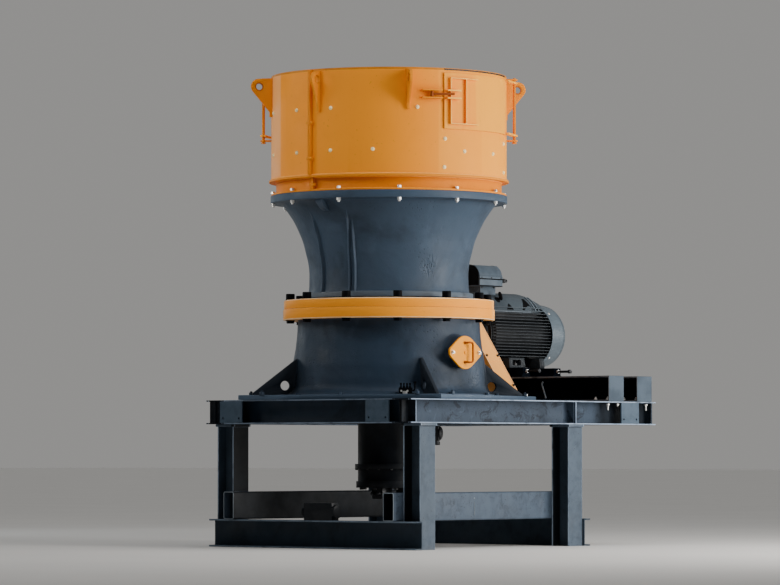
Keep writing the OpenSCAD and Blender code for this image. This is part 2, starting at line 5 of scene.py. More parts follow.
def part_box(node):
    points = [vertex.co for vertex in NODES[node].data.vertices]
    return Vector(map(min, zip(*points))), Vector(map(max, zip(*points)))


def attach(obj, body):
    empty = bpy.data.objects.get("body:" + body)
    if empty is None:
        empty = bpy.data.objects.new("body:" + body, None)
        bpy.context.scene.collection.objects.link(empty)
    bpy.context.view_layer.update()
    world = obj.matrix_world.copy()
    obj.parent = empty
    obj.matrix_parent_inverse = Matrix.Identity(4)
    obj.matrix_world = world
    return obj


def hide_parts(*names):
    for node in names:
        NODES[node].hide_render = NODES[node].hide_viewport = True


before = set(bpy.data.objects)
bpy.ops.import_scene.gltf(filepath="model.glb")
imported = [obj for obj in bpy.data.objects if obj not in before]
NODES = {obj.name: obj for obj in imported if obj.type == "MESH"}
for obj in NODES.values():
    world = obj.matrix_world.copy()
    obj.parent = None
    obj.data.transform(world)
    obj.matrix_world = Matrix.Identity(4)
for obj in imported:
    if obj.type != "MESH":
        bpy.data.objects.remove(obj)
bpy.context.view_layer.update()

AX = -0.143          # the crusher's vertical axis along X
rnd = random.Random(7)

# ------------------------------------------------------------------ camera
AZ, DIST, EYE, SIDE, FPX, PITCH = 40.26, 32.912, 0.727, 0.0088, 4104.0, 0.0397


def make_camera():
    a = math.radians(AZ)
    away = Vector((math.cos(a), math.sin(a), 0))
    right = Vector((math.sin(a), -math.cos(a), 0))
    cam = bpy.data.cameras.new("camera")
    cam.sensor_width = 36.0
    cam.lens = FPX / 780.0 * 36.0
    cam.clip_end = 400.0
    ob = bpy.data.objects.new("camera", cam)
    bpy.context.scene.collection.objects.link(ob)
    ob.location = Vector((AX, 0, 0)) - DIST * away + SIDE * right + Vector((0, 0, EYE))
    look = (away * math.cos(PITCH) + Vector((0, 0, math.sin(PITCH)))).normalized()
    ob.rotation_euler = look.to_track_quat("-Z", "Y").to_euler()
    bpy.context.scene.camera = ob


make_camera()


# ------------------------------------------------------------------ helpers
def link(ob):
    bpy.context.scene.collection.objects.link(ob)
    return ob


def from_bmesh(name, bm, smooth_angle=32.0):
    bm.normal_update()
    lim = math.radians(smooth_angle)
    for f in bm.faces:
        f.smooth = True
    for e in bm.edges:
        if len(e.link_faces) == 2 and e.calc_face_angle(0) > lim:
            e.smooth = False
    me = bpy.data.meshes.new(name)
    bm.to_mesh(me)
    bm.free()
    return link(bpy.data.objects.new(name, me))


def place(ob, mat, body="main"):
    """Give a new piece its material and its body."""
    ob.data.materials.clear()
    ob.data.materials.append(mat)
    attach(ob, body)
    return ob


def polar(deg, r, z=0.0, cx=AX):
    """A point round the crusher's axis, r and z in metres."""
    t = math.radians(deg)
    return Vector((cx + r * math.cos(t), r * math.sin(t), z))


def radial(deg):
    t = math.radians(deg)
    return Vector((math.cos(t), math.sin(t), 0))


def basis(n, up=Vector((0, 0, 1))):
    """A 3x3 turn whose Z is n and whose Y is as near up as can be."""
    n = n.normalized()
    if abs(n.dot(up)) > 0.98:
        up = Vector((1, 0, 0))
    x = up.cross(n).normalized()
    y = n.cross(x).normalized()
    return Matrix((x, y, n)).transposed()


def ring_loft(bm, rings, close_ends=True):
    """Skin a list of closed rings of points, all with the same count."""
    vs = [[bm.verts.new(p) for p in r] for r in rings]
    n = len(rings[0])
    for a, b in zip(vs, vs[1:]):
        for i in range(n):
            j = (i + 1) % n
            bm.faces.new((a[i], a[j], b[j], b[i]))
    if close_ends:
        bm.faces.new(list(reversed(vs[0])))
        bm.faces.new(vs[-1])
    return vs


def turned(bm, at, n, profile, segs=24, spin=0.0):
    """A turned solid: profile is (radius, height) from the foot along n."""
    m = basis(n)
    rings = []
    for r, h in profile:
        rings.append([at + m @ Vector((r * math.cos(spin + 2 * math.pi * i / segs), r * math.sin(spin + 2 * math.pi * i / segs), h)) for i in range(segs)])
    ring_loft(bm, rings)


def hexagon(bm, at, n, af, h, chamfer=0.12, spin=0.0, dome=0.0):
    """Hexagon head or nut standing on `at`, across flats af, height h, its top corners turned off."""
    m = basis(n)
    k = 24
    rc = af / math.sqrt(3.0)

    def ring(scale_corner, z):
        pts = []
        for i in range(k):
            t = 2 * math.pi * i / k
            seg = (t % (math.pi / 3)) - math.pi / 6
            rh = (af / 2) / math.cos(seg)
            r = min(rh, rc * scale_corner)
            pts.append(at + m @ Vector((r * math.cos(t + spin), r * math.sin(t + spin), z)))
        return pts
    ring_loft(bm, [ring(1.0, 0), ring(1.0, h * (1 - chamfer)), ring(0.90, h), ring(0.62, h + dome)])


def washer(bm, at, n, r, h):
    turned(bm, at, n, [(r * 0.985, 0), (r, h * 0.3), (r, h * 0.75), (r * 0.97, h)], 28)


def hex_bolt(bm, at, n, d, washer_r=None, spin=None, stick=0.0):
    """Washer, hexagon and, where stick is given, the thread's end past it."""
    spin = rnd.uniform(0, 1.0) if spin is None else spin
    n = n.normalized()
    h = 0.0
    if washer_r:
        h = 0.18 * d
        washer(bm, at, n, washer_r, h)
    hexagon(bm, at + n * h, n, 1.55 * d, 0.68 * d, spin=spin, dome=0.03 * d)
    if stick:
        threaded(bm, at + n * (h + 0.66 * d), n, d * 0.5, stick)


def threaded(bm, at, n, r, length, pitch=None):
    """A screw end drawn as closely spaced rings with a turned tip."""
    pitch = pitch or r * 0.42
    prof = [(r * 0.98, 0)]
    z = 0.0
    while z + pitch < length - r * 0.2:
        prof += [(r, z + pitch * 0.2), (r, z + pitch * 0.45), (r * 0.87, z + pitch * 0.7), (r * 0.87, z + pitch * 0.85)]
        z += pitch
    prof += [(r * 0.97, length - r * 0.2), (r * 0.78, length)]
    turned(bm, at, n, prof, 20)


def cap_screw(bm, at, n, r, h):
    """Socket cap screw: a round head with a broken edge and a hexagon socket."""
    m = basis(n)
    k = 24
    prof = [(r * 0.985, 0), (r, h * 0.06), (r, h * 0.86), (r * 0.93, h), (r * 0.62, h)]
    rings = [[at + m @ Vector((a * math.cos(2 * math.pi * i / k), a * math.sin(2 * math.pi * i / k), z)) for i in range(k)] for a, z in prof]
    for z in (h, h * 0.55):
        pts = []
        for i in range(k):
            t = 2 * math.pi * i / k
            seg = (t % (math.pi / 3)) - math.pi / 6
            rr = r * 0.46 / math.cos(seg)
            pts.append(at + m @ Vector((rr * math.cos(t), rr * math.sin(t), z)))
        rings.append(pts)
    ring_loft(bm, rings)


def sweep(bm, pts, radius, segs=10, wob=0.0, seed=1, flat=1.0, ends=True, normal=None):
    """A round bar along pts. wob gives a weld bead's ripple."""
    pts = [Vector(p) for p in pts]
    rings = []
    side = None
    for i, p in enumerate(pts):
        t = (pts[min(i + 1, len(pts) - 1)] - pts[max(i - 1, 0)]).normalized()
        if normal is not None:
            nn = normal(p) if callable(normal) else normal
            s = t.cross(nn).normalized()
        elif side is None:
            ref = Vector((0, 0, 1)) if abs(t.z) < 0.9 else Vector((1, 0, 0))
            s = t.cross(ref).normalized()
        else:
            s = (side - t * side.dot(t)).normalized()
        side = s
        up = s.cross(t).normalized()
        r = radius
        if wob:
            r *= 1 + wob * math.sin(i * 2.1 + seed) + wob * 0.7 * mnoise.noise(p * 90 + Vector((seed, 0, 0)))
        if ends and i in (0, len(pts) - 1) and wob:
            r *= 0.45
        rings.append([p + s * (r * math.cos(2 * math.pi * j / segs)) + up * (r * flat * math.sin(2 * math.pi * j / segs)) for j in range(segs)])
    ring_loft(bm, rings)


def line(a, b, step):
    a, b = Vector(a), Vector(b)
    n = max(2, int((b - a).length / step))
    return [a.lerp(b, i / n) for i in range(n + 1)]


def arc(r, z, a0, a1, step_deg, cx=AX):
    n = max(2, int(abs(a1 - a0) / step_deg))
    return [polar(a0 + (a1 - a0) * i / n, r, z, cx) for i in range(n + 1)]


def box_bevel(bm, lo, hi, bevel=0.003, segs=2, turn=None, at=None):
    """A box with rounded edges between two corners, turned and moved if asked."""
    lo, hi = Vector(lo), Vector(hi)
    tmp = bmesh.new()
    bmesh.ops.create_cube(tmp, size=1.0)
    for v in tmp.verts:
        v.co = Vector(((v.co.x + 0.5) * (hi.x - lo.x) + lo.x, (v.co.y + 0.5) * (hi.y - lo.y) + lo.y, (v.co.z + 0.5) * (hi.z - lo.z) + lo.z))
    bmesh.ops.bevel(tmp, geom=list(tmp.edges), offset=bevel, segments=segs, affect="EDGES", profile=0.6)
    if turn is not None:
        for v in tmp.verts:
            v.co = turn @ v.co
    if at is not None:
        for v in tmp.verts:
            v.co = v.co + Vector(at)
    me = bpy.data.meshes.new("tmp_box")
    tmp.to_mesh(me)
    tmp.free()
    bm.from_mesh(me)
    bpy.data.meshes.remove(me)


def prism(bm, outline, at, x_axis, y_axis, depth, bevel=0.002):
    """An outline (2-D, metres) extruded both ways along x_axis cross y_axis, its rims broken."""
    x_axis, y_axis = Vector(x_axis).normalized(), Vector(y_axis).normalized()
    z = x_axis.cross(y_axis)
    tmp = bmesh.new()
    bot = [tmp.verts.new(at + x_axis * p[0] + y_axis * p[1] - z * depth / 2) for p in outline]
    top = [tmp.verts.new(at + x_axis * p[0] + y_axis * p[1] + z * depth / 2) for p in outline]
    n = len(outline)
    tmp.faces.new(list(reversed(bot)))
    tmp.faces.new(top)
    for i in range(n):
        j = (i + 1) % n
        tmp.faces.new((bot[i], bot[j], top[j], top[i]))
    bmesh.ops.recalc_face_normals(tmp, faces=list(tmp.faces))
    if bevel:
        rim = [e for e in tmp.edges if len(e.link_faces) == 2 and e.calc_face_angle(0) > 0.6]
        bmesh.ops.bevel(tmp, geom=rim, offset=bevel, segments=2, affect="EDGES", profile=0.6)
    me = bpy.data.meshes.new("tmp_prism")
    tmp.to_mesh(me)
    tmp.free()
    bm.from_mesh(me)
    bpy.data.meshes.remove(me)


# ------------------------------------------------------------------ materials
class Nodes:
    """Small helper that adds and joins shader nodes."""

    def __init__(self, name):
        self.mat = bpy.data.materials.new(name)
        self.mat.use_nodes = True
        self.t = self.mat.node_tree
        self.b = self.t.nodes["Principled BSDF"]
        self.tc = self.t.nodes.new("ShaderNodeTexCoord").outputs["Object"]

    def put(self, sock, v):
        if isinstance(v, (int, float)):
            sock.default_value = v
        elif isinstance(v, (tuple, list)):
            sock.default_value = (*v, 1) if len(v) == 3 and sock.type == "RGBA" else v
        else:
            self.t.links.new(v, sock)

    def noise(self, scale, detail=4.0, rough=0.55, vec=None, distort=0.0, stretch=None):
        n = self.t.nodes.new("ShaderNodeTexNoise")
        n.inputs["Scale"].default_value = scale
        n.inputs["Detail"].default_value = detail
        n.inputs["Roughness"].default_value = rough
        n.inputs["Distortion"].default_value = distort
        v = vec or self.tc
        if stretch:
            m = self.t.nodes.new("ShaderNodeMapping")
            m.inputs["Scale"].default_value = stretch
            self.t.links.new(v, m.inputs["Vector"])
            v = m.outputs["Vector"]
        self.t.links.new(v, n.inputs["Vector"])
        return n.outputs["Fac"]

    def voronoi(self, scale, feature="F1", rand=1.0):
        n = self.t.nodes.new("ShaderNodeTexVoronoi")
        n.feature = feature
        n.inputs["Scale"].default_value = scale
        n.inputs["Randomness"].default_value = rand
        self.t.links.new(self.tc, n.inputs["Vector"])
        return n.outputs["Distance"]

    def ramp(self, fac, a, b, lo=0.0, hi=1.0):
        n = self.t.nodes.new("ShaderNodeMapRange")
        n.interpolation_type = "SMOOTHSTEP"
        n.inputs["From Min"].default_value = a
        n.inputs["From Max"].default_value = b
        n.inputs["To Min"].default_value = lo
        n.inputs["To Max"].default_value = hi
        self.t.links.new(fac, n.inputs["Value"])
        return n.outputs["Result"]

    def math(self, op, a, b=0.0, clamp=False):
        n = self.t.nodes.new("ShaderNodeMath")
        n.operation = op
        n.use_clamp = clamp
        self.put(n.inputs[0], a)
        self.put(n.inputs[1], b)
        return n.outputs[0]

    def mix(self, fac, a, b, mode="MIX"):
        n = self.t.nodes.new("ShaderNodeMix")
        n.data_type = "RGBA"
        n.blend_type = mode
        self.put(n.inputs["Factor"], fac)
        self.put(n.inputs[6], a)
        self.put(n.inputs[7], b)
        return n.outputs[2]

    def axis(self, which):
        n = self.t.nodes.new("ShaderNodeSeparateXYZ")
        self.t.links.new(self.tc, n.inputs[0])
        return n.outputs[which]

    def pointiness(self, a=0.505, b=0.56):
        g = self.t.nodes.new("ShaderNodeNewGeometry")
        return self.ramp(g.outputs["Pointiness"], a, b)

    def bump(self, height, strength, distance, normal=None):
        n = self.t.nodes.new("ShaderNodeBump")
        n.inputs["Strength"].default_value = strength
        n.inputs["Distance"].default_value = distance
        self.t.links.new(height, n.inputs["Height"])
        if normal is not None:
            self.t.links.new(normal, n.inputs["Normal"])
        return n.outputs["Normal"]

    def out(self, color=None, rough=None, normal=None, metallic=0.0, **consts):
        if color is not None:
            self.put(self.b.inputs["Base Color"], color)
        if rough is not None:
            self.put(self.b.inputs["Roughness"], rough)
        if normal is not None:
            self.put(self.b.inputs["Normal"], normal)
        self.b.inputs["Metallic"].default_value = metallic
        for k, v in consts.items():
            self.b.inputs[k.replace("_", " ")].default_value = v
        return self.mat


def srgb(r, g, b):
    def f(c):
        c /= 255.0
        return c / 12.92 if c <= 0.04045 else ((c + 0.055) / 1.055) ** 2.4
    return (f(r), f(g), f(b))


def steel_paint(name, base, cloud=0.75, speck=0.6, edge=0.35, rough=(0.38, 0.62), dust=0.22, seed=0.0, rims=(), shade=None, gloss=0.42, blotch=0.0, plates=(), inner=0.0):
    """Dark paint on rolled plate: cloudy hand marks, dark specks, rubbed edges that also stand as painted highlight, a
    little dust low down.
    """
    n = Nodes(name)
    dark = tuple(c * 0.42 for c in base)
    light = tuple(min(1, c * 1.55 + a) for c, a in zip(base, (0.008, 0.012, 0.018)))
    c1 = n.ramp(n.noise(2.3 + seed, 6, 0.62, distort=0.6), 0.50, 0.72)
    col = n.mix(n.math("MULTIPLY", c1, cloud), base, dark)
    c2 = n.ramp(n.noise(9.0, 5, 0.6, stretch=(1, 1, 0.45)), 0.52, 0.75)
    col = n.mix(n.math("MULTIPLY", c2, cloud * 0.55), col, dark)
    c3 = n.ramp(n.noise(3.7, 4, 0.55, distort=0.3), 0.55, 0.8)
    col = n.mix(n.math("MULTIPLY", c3, 0.30), col, light)
    s = n.ramp(n.noise(58.0, 2, 0.5), 0.68, 0.74)
    s = n.math("MULTIPLY", s, n.ramp(n.noise(4.0, 2, 0.5), 0.45, 0.6))
    col = n.mix(n.math("MULTIPLY", s, speck), col, tuple(c * 0.25 for c in base))
    # lighter convex edges: rubbed paint, and painted highlight along the edges
    if edge:
        e = n.math("MULTIPLY", n.pointiness(), n.ramp(n.noise(14.0, 3, 0.6), 0.25, 0.6, 0.5, 1.0))
        col = n.mix(n.math("MULTIPLY", e, edge), col, tuple(min(1, c * 2.6 + 0.05) for c in base))
    if blotch:     # hand marks and soaked-in oil in irregular patches, fine black spatter
        b1 = n.ramp(n.noise(6.5, 7, 0.70, distort=1.1), 0.52, 0.63)
        col = n.mix(n.math("MULTIPLY", b1, blotch), col, tuple(c * 0.30 for c in base))
        b2 = n.ramp(n.noise(19.0, 5, 0.66, stretch=(1, 1, 0.35)), 0.57, 0.68)
        col = n.mix(n.math("MULTIPLY", b2, blotch * 0.6), col, tuple(c * 0.45 for c in base))
        b3 = n.ramp(n.noise(13.0, 5, 0.7, distort=0.6), 0.58, 0.70)
        col = n.mix(n.math("MULTIPLY", b3, blotch * 0.45), col, tuple(min(1, c * 1.7 + a) for c, a in zip(base, (0.012, 0.020, 0.028))))
        sp = n.math("MULTIPLY", n.ramp(n.voronoi(42.0), 0.10, 0.17, 1.0, 0.0), n.ramp(n.noise(5.0, 3, 0.6), 0.44, 0.58))
        col = n.mix(n.math("MULTIPLY", sp, 0.9), col, (0.003, 0.004, 0.005))
    for ax, a0, a1, amount in (shade or ()):      # painted shade past a plane, darkening toward near black: axis, from, to, how much
        g = n.ramp(n.axis(ax), min(a0, a1), max(a0, a1)) if a1 > a0 else n.ramp(n.axis(ax), a1, a0, 1.0, 0.0)
        g = n.math("MULTIPLY", g, n.ramp(n.noise(3.1, 5, 0.6), 0.2, 0.7, 0.8, 1.0))
        col = n.mix(n.math("MULTIPLY", g, amount), col, tuple(c * 0.08 for c in base))
    if inner:      # painted shade: the faces toward the middle of the machine are darkened toward near black
        g = n.ramp(n.math("ABSOLUTE", n.axis(1)), inner - 0.008, inner + 0.004, 1.0, 0.0)
        g = n.math("MULTIPLY", g, n.ramp(n.noise(3.7, 5, 0.6), 0.2, 0.7, 0.86, 1.0))
        col = n.mix(n.math("MULTIPLY", g, 0.97), col, tuple(c * 0.04 for c in base))
    for ax, limit, tone in plates:     # painted light: end plates past a distance on both sides are painted in a lighter tone
        v = n.ramp(n.math("ABSOLUTE", n.axis(ax)), limit - 0.001, limit + 0.001)
        col = n.mix(v, col, n.mix(n.ramp(n.noise(5.0, 5, 0.6), 0.40, 0.66, 0.0, 0.6), tone, tuple(c * 0.55 for c in tone)))
    rub = None
    for ax, centre, half, both in rims:      # mill edges of flanges and tips, rubbed bright and painted as highlight lines
        v = n.axis(ax)
        if both:
            v = n.math("ABSOLUTE", v)
        v = n.math("ABSOLUTE", n.math("SUBTRACT", v, centre))
        v = n.ramp(n.math("ABSOLUTE", n.math("SUBTRACT", v, half)), 0.0012, 0.0032, 1.0, 0.0)
        rub = v if rub is None else n.math("MAXIMUM", rub, v)
    if rub is not None:
        rub = n.math("MULTIPLY", rub, n.ramp(n.noise(9.0, 4, 0.6), 0.30, 0.55, 0.35, 0.95))
        col = n.mix(rub, col, tuple(min(1, c * 4.2 + 0.12) for c in base))
    if dust:
        z = n.ramp(n.axis(2), 0.0, 0.9, 1.0, 0.15)
        d = n.math("MULTIPLY", n.ramp(n.noise(6.0, 5, 0.65), 0.5, 0.75), z)
        col = n.mix(n.math("MULTIPLY", d, dust), col, (0.22, 0.20, 0.175))
    r = n.ramp(n.noise(7.5, 5, 0.6), 0.3, 0.75, rough[0], rough[1])
    bumpy = n.math("ADD", n.math("MULTIPLY", n.noise(420.0, 2, 0.5), 0.35), n.math("MULTIPLY", n.noise(38.0, 3, 0.5), 0.65))
    return n.out(col, r, n.bump(bumpy, 0.25, 0.0012), Specular_IOR_Level=gloss)


def cast_paint(name, base, rough=(0.40, 0.60), pit=1.0, swirl=0.5, edge=0.3, spots=(), gloss=0.36, corners=()):
    """Paint over a sand casting: orange-peel skin, open pits in patches, long soft waves; corners adds painted shade.
    """
    n = Nodes(name)
    dark = tuple(c * 0.50 for c in base)
    light = tuple(min(1, c * 1.45 + 0.01) for c in base)
    c1 = n.ramp(n.noise(1.6, 6, 0.62, distort=0.8), 0.48, 0.72)
    col = n.mix(n.math("MULTIPLY", c1, swirl), base, dark)
    c2 = n.ramp(n.noise(2.9, 5, 0.6, distort=0.5), 0.52, 0.76)
    col = n.mix(n.math("MULTIPLY", c2, swirl * 0.65), col, light)
    c3 = n.ramp(n.noise(12.0, 4, 0.6, stretch=(1, 1, 0.3)), 0.56, 0.78)
    col = n.mix(n.math("MULTIPLY", c3, 0.28), col, dark)
    # pits sit in loose patches
    patch = n.ramp(n.noise(3.1, 3, 0.55), 0.52, 0.66)
    pits = n.ramp(n.voronoi(34.0), 0.0, 0.34, 1.0, 0.0)
    pits = n.math("MULTIPLY", pits, patch)
    fine = n.ramp(n.voronoi(85.0), 0.0, 0.40, 1.0, 0.0)
    fine = n.math("MULTIPLY", fine, n.ramp(n.noise(5.0, 3, 0.6), 0.45, 0.7))
    col = n.mix(n.math("MULTIPLY", pits, 0.55 * pit), col, tuple(c * 0.28 for c in base))
    col = n.mix(n.math("MULTIPLY", fine, 0.28 * pit), col, tuple(c * 0.4 for c in base))
    for centre, radius in spots:
        d = n.t.nodes.new("ShaderNodeVectorMath")
        d.operation = "DISTANCE"
        n.t.links.new(n.tc, d.inputs[0])
        d.inputs[1].default_value = centre
        near = n.ramp(d.outputs["Value"], radius * 0.35, radius, 1.0, 0.0)
        cells = n.ramp(n.voronoi(62.0), 0.12, 0.42, 1.0, 0.0)
        hit = n.math("MULTIPLY", cells, near)
        col = n.mix(n.math("MULTIPLY", hit, 0.85), col, tuple(c * 0.16 for c in base))
        pits = n.math("MAXIMUM", pits, hit)
    corner_shade = None
    for a0, a1, r0, r1 in corners:     # painted shade: dark corners beside the drive side's ribs, with a ragged outline
        dx = n.math("SUBTRACT", n.axis(0), AX)
        ang = n.math("MULTIPLY", n.math("ARCTAN2", n.axis(1), dx), 57.29578)
        ang = n.math("ADD", ang, n.math("MULTIPLY", n.math("SUBTRACT", n.noise(3.2, 6, 0.66), 0.5), 26.0))
        rr = n.math("SQRT", n.math("ADD", n.math("MULTIPLY", dx, dx), n.math("MULTIPLY", n.axis(1), n.axis(1))))
        zz = n.math("ADD", n.axis(2), n.math("MULTIPLY", n.math("SUBTRACT", n.noise(4.6, 6, 0.66), 0.5), 0.34))
        m = n.math("MULTIPLY", n.ramp(ang, a0 - 6.0, a0 + 8.0), n.ramp(ang, a1 - 22.0, a1 + 12.0, 1.0, 0.0))
        m = n.math("MULTIPLY", n.math("MULTIPLY", m, n.ramp(rr, r0, r1)), n.ramp(zz, 1.29, 1.54, 1.0, 0.0))
        corner_shade = m if corner_shade is None else n.math("MAXIMUM", corner_shade, m)
    if corner_shade is not None:
        col = n.mix(n.math("MULTIPLY", corner_shade, 0.88), col, tuple(c * 0.09 for c in base))
    # lighter convex edges: rubbed paint, and painted highlight along the edges
    if edge:
        col = n.mix(n.math("MULTIPLY", n.pointiness(0.51, 0.58), edge), col, tuple(min(1, c * 2.2 + 0.04) for c in base))
    r = n.ramp(n.noise(5.5, 5, 0.6), 0.3, 0.75, rough[0], rough[1])
    if corner_shade is not None:
        r = n.math("MAXIMUM", r, n.math("MULTIPLY", corner_shade, 0.92))
    h = n.math("ADD", n.math("MULTIPLY", n.noise(150.0, 3, 0.55), 0.55), n.math("MULTIPLY", n.noise(26.0, 4, 0.6), 1.0))
    h = n.math("SUBTRACT", h, n.math("MULTIPLY", pits, 1.4 * pit))
    h = n.math("SUBTRACT", h, n.math("MULTIPLY", fine, 0.6 * pit))
    return n.out(col, r, n.bump(h, 0.42, 0.0028), Specular_IOR_Level=gloss)


def orange_paint(name, base, rough=(0.42, 0.58), fade=0.35, grime=0.35, edge=0.35, streak=0.3, gloss=0.10, steps=(), tips=(), bands=(), facing=0.0):
    """Orange machine paint: slightly faded patches, thin grime and rain streaks, rubbed edges that also stand as
    painted highlight.
    """
    n = Nodes(name)
    pale = (min(1, base[0] * 1.10), min(1, base[1] * 1.14), base[2] * 1.3)
    deep = (base[0] * 0.80, base[1] * 0.70, base[2] * 0.5)
    c1 = n.ramp(n.noise(1.3, 4, 0.55, distort=0.4), 0.42, 0.70)
    col = n.mix(n.math("MULTIPLY", c1, fade), base, pale)
    c2 = n.ramp(n.noise(2.6, 6, 0.62, distort=0.5), 0.52, 0.78)
    col = n.mix(n.math("MULTIPLY", c2, fade * 0.9), col, deep)
    g = n.ramp(n.noise(16.0, 6, 0.65, stretch=(1, 1, 0.10)), 0.55, 0.80)
    col = n.mix(n.math("MULTIPLY", g, streak), col, deep)
    s = n.ramp(n.noise(46.0, 2, 0.5), 0.69, 0.76)
    col = n.mix(n.math("MULTIPLY", s, grime), col, (0.16, 0.08, 0.03))
    if steps:      # painted light and painted reflection in spans round the axis: (from, to, tint, amount), angles in degrees round the axis
        ang = n.math("MULTIPLY", n.math("ARCTAN2", n.axis(1), n.math("SUBTRACT", n.axis(0), AX)), 57.29578)
        for a0, a1, tint, amount in steps:
            m = n.math("MULTIPLY", n.math("GREATER_THAN", ang, a0), n.math("LESS_THAN", ang, a1))
            col = n.mix(n.math("MULTIPLY", m, amount), col, tint)
    # painted highlight: light orange between two radii round the axis, on the outer edges of ribs
    for r0, r1 in tips:
        dx = n.math("SUBTRACT", n.axis(0), AX)
        rr = n.math("SQRT", n.math("ADD", n.math("MULTIPLY", dx, dx), n.math("MULTIPLY", n.axis(1), n.axis(1))))
        m = n.math("MULTIPLY", n.ramp(rr, r0 - 0.001, r0), n.ramp(rr, r1, r1 + 0.001, 1.0, 0.0))
        m = n.math("MULTIPLY", m, n.ramp(n.noise(30.0, 3, 0.6), 0.3, 0.6, 0.5, 1.0))
        col = n.mix(m, col, (1.0, 0.55, 0.12))
    for r0, z0, z1, tone in bands:       # band of a tone between two heights past a radius: painted highlight on a ring's rim, painted shadow line under the hopper's rim
        dx = n.math("SUBTRACT", n.axis(0), AX)
        rr = n.math("SQRT", n.math("ADD", n.math("MULTIPLY", dx, dx), n.math("MULTIPLY", n.axis(1), n.axis(1))))
        m = n.math("MULTIPLY", n.ramp(n.axis(2), z0 - 0.001, z0), n.ramp(n.axis(2), z1, z1 + 0.001, 1.0, 0.0))
        m = n.math("MULTIPLY", m, n.ramp(rr, r0 - 0.001, r0))
        m = n.math("MULTIPLY", m, n.ramp(n.noise(8.0, 4, 0.6), 0.25, 0.55, 0.45, 0.95))
        col = n.mix(m, col, tone)
    if facing:                     # painted sheen where the surface turns away
        lw = n.t.nodes.new("ShaderNodeLayerWeight")
        col = n.mix(n.math("MULTIPLY", n.ramp(lw.outputs["Facing"], 0.72, 0.90), facing), col, (0.95, 0.52, 0.24))
    # lighter convex edges: rubbed paint, and painted highlight along the edges
    if edge:
        col = n.mix(n.math("MULTIPLY", n.pointiness(), edge), col, (min(1, base[0] * 1.2 + 0.06), min(1, base[1] * 1.35 + 0.05), base[2] * 1.4 + 0.012))
    r = n.ramp(n.noise(6.0, 5, 0.6), 0.3, 0.75, rough[0], rough[1])
    h = n.math("ADD", n.math("MULTIPLY", n.noise(330.0, 2, 0.5), 0.30), n.math("MULTIPLY", n.noise(9.0, 3, 0.5), 0.9))
    return n.out(col, r, n.bump(h, 0.16, 0.0016), Specular_IOR_Level=gloss)


def metal(name, base, rough=(0.25, 0.45), metallic=1.0, stain=None, grain=0.15, amount=0.4, wear=0.0):
    """Bare, plated or blackened metal with faint turning marks and stains."""
    n = Nodes(name)
    stain = stain or tuple(c * 0.45 for c in base)
    c1 = n.ramp(n.noise(11.0, 5, 0.62), 0.48, 0.74)
    col = n.mix(n.math("MULTIPLY", c1, amount), base, stain)
    c2 = n.ramp(n.noise(60.0, 3, 0.6), 0.55, 0.75)
    col = n.mix(n.math("MULTIPLY", c2, amount * 0.6), col, stain)
    if wear:
        col = n.mix(n.math("MULTIPLY", n.pointiness(), wear), col, tuple(min(1, c * 1.8 + 0.15) for c in base))
    r = n.ramp(n.noise(24.0, 4, 0.6), 0.3, 0.75, rough[0], rough[1])
    h = n.math("ADD", n.noise(260.0, 2, 0.5, stretch=(1, 1, 0.25)), n.math("MULTIPLY", n.noise(50.0, 3, 0.6), 0.5))
    return n.out(col, r, n.bump(h, grain, 0.0008), metallic=metallic)


def manganese(name):
    """Crushing surface: rough cast skin polished in bands where the stone runs, with stone dust."""
    n = Nodes(name)
    c = n.mix(n.ramp(n.noise(6.0, 6, 0.65), 0.42, 0.68), (0.20, 0.19, 0.185), (0.085, 0.08, 0.078))
    c = n.mix(n.math("MULTIPLY", n.ramp(n.noise(3.0, 5, 0.6), 0.5, 0.7), 0.55), c, (0.34, 0.31, 0.27))
    c = n.mix(n.math("MULTIPLY", n.ramp(n.noise(30.0, 4, 0.6, stretch=(1, 1, 0.12)), 0.5, 0.72), 0.5), c, (0.42, 0.41, 0.40))
    h = n.math("ADD", n.noise(34.0, 5, 0.65), n.math("MULTIPLY", n.voronoi(48.0), 0.6))
    r = n.ramp(n.noise(8.0, 5, 0.6), 0.35, 0.7, 0.34, 0.72)
    return n.out(c, r, n.bump(h, 0.55, 0.004), metallic=0.55)


def liner_mat(name):
    """Wear plate inside the hopper: bluish rolled skin, rubbed bright low down, rust and dust."""
    n = Nodes(name)
    c = n.mix(n.ramp(n.noise(2.2, 6, 0.62, distort=0.7), 0.42, 0.70), (0.17, 0.155, 0.145), (0.085, 0.08, 0.08))
    rub = n.math("MULTIPLY", n.ramp(n.axis(2), 2.9, 3.6, 1.0, 0.15), n.ramp(n.noise(11.0, 5, 0.6, stretch=(1, 1, 0.2)), 0.42, 0.68))
    c = n.mix(n.math("MULTIPLY", rub, 0.7), c, (0.36, 0.34, 0.32))
    rust = n.ramp(n.noise(5.0, 7, 0.7), 0.54, 0.70)
    c = n.mix(n.math("MULTIPLY", rust, 0.5), c, (0.16, 0.065, 0.025))
    c = n.mix(n.math("MULTIPLY", n.ramp(n.noise(9.0, 5, 0.6), 0.55, 0.75), 0.35), c, (0.30, 0.27, 0.22))
    r = n.ramp(n.noise(7.0, 5, 0.6), 0.3, 0.75, 0.40, 0.72)
    h = n.math("ADD", n.noise(30.0, 5, 0.6), n.math("MULTIPLY", n.noise(160.0, 2, 0.5), 0.4))
    return n.out(c, r, n.bump(h, 0.35, 0.002), metallic=0.35)


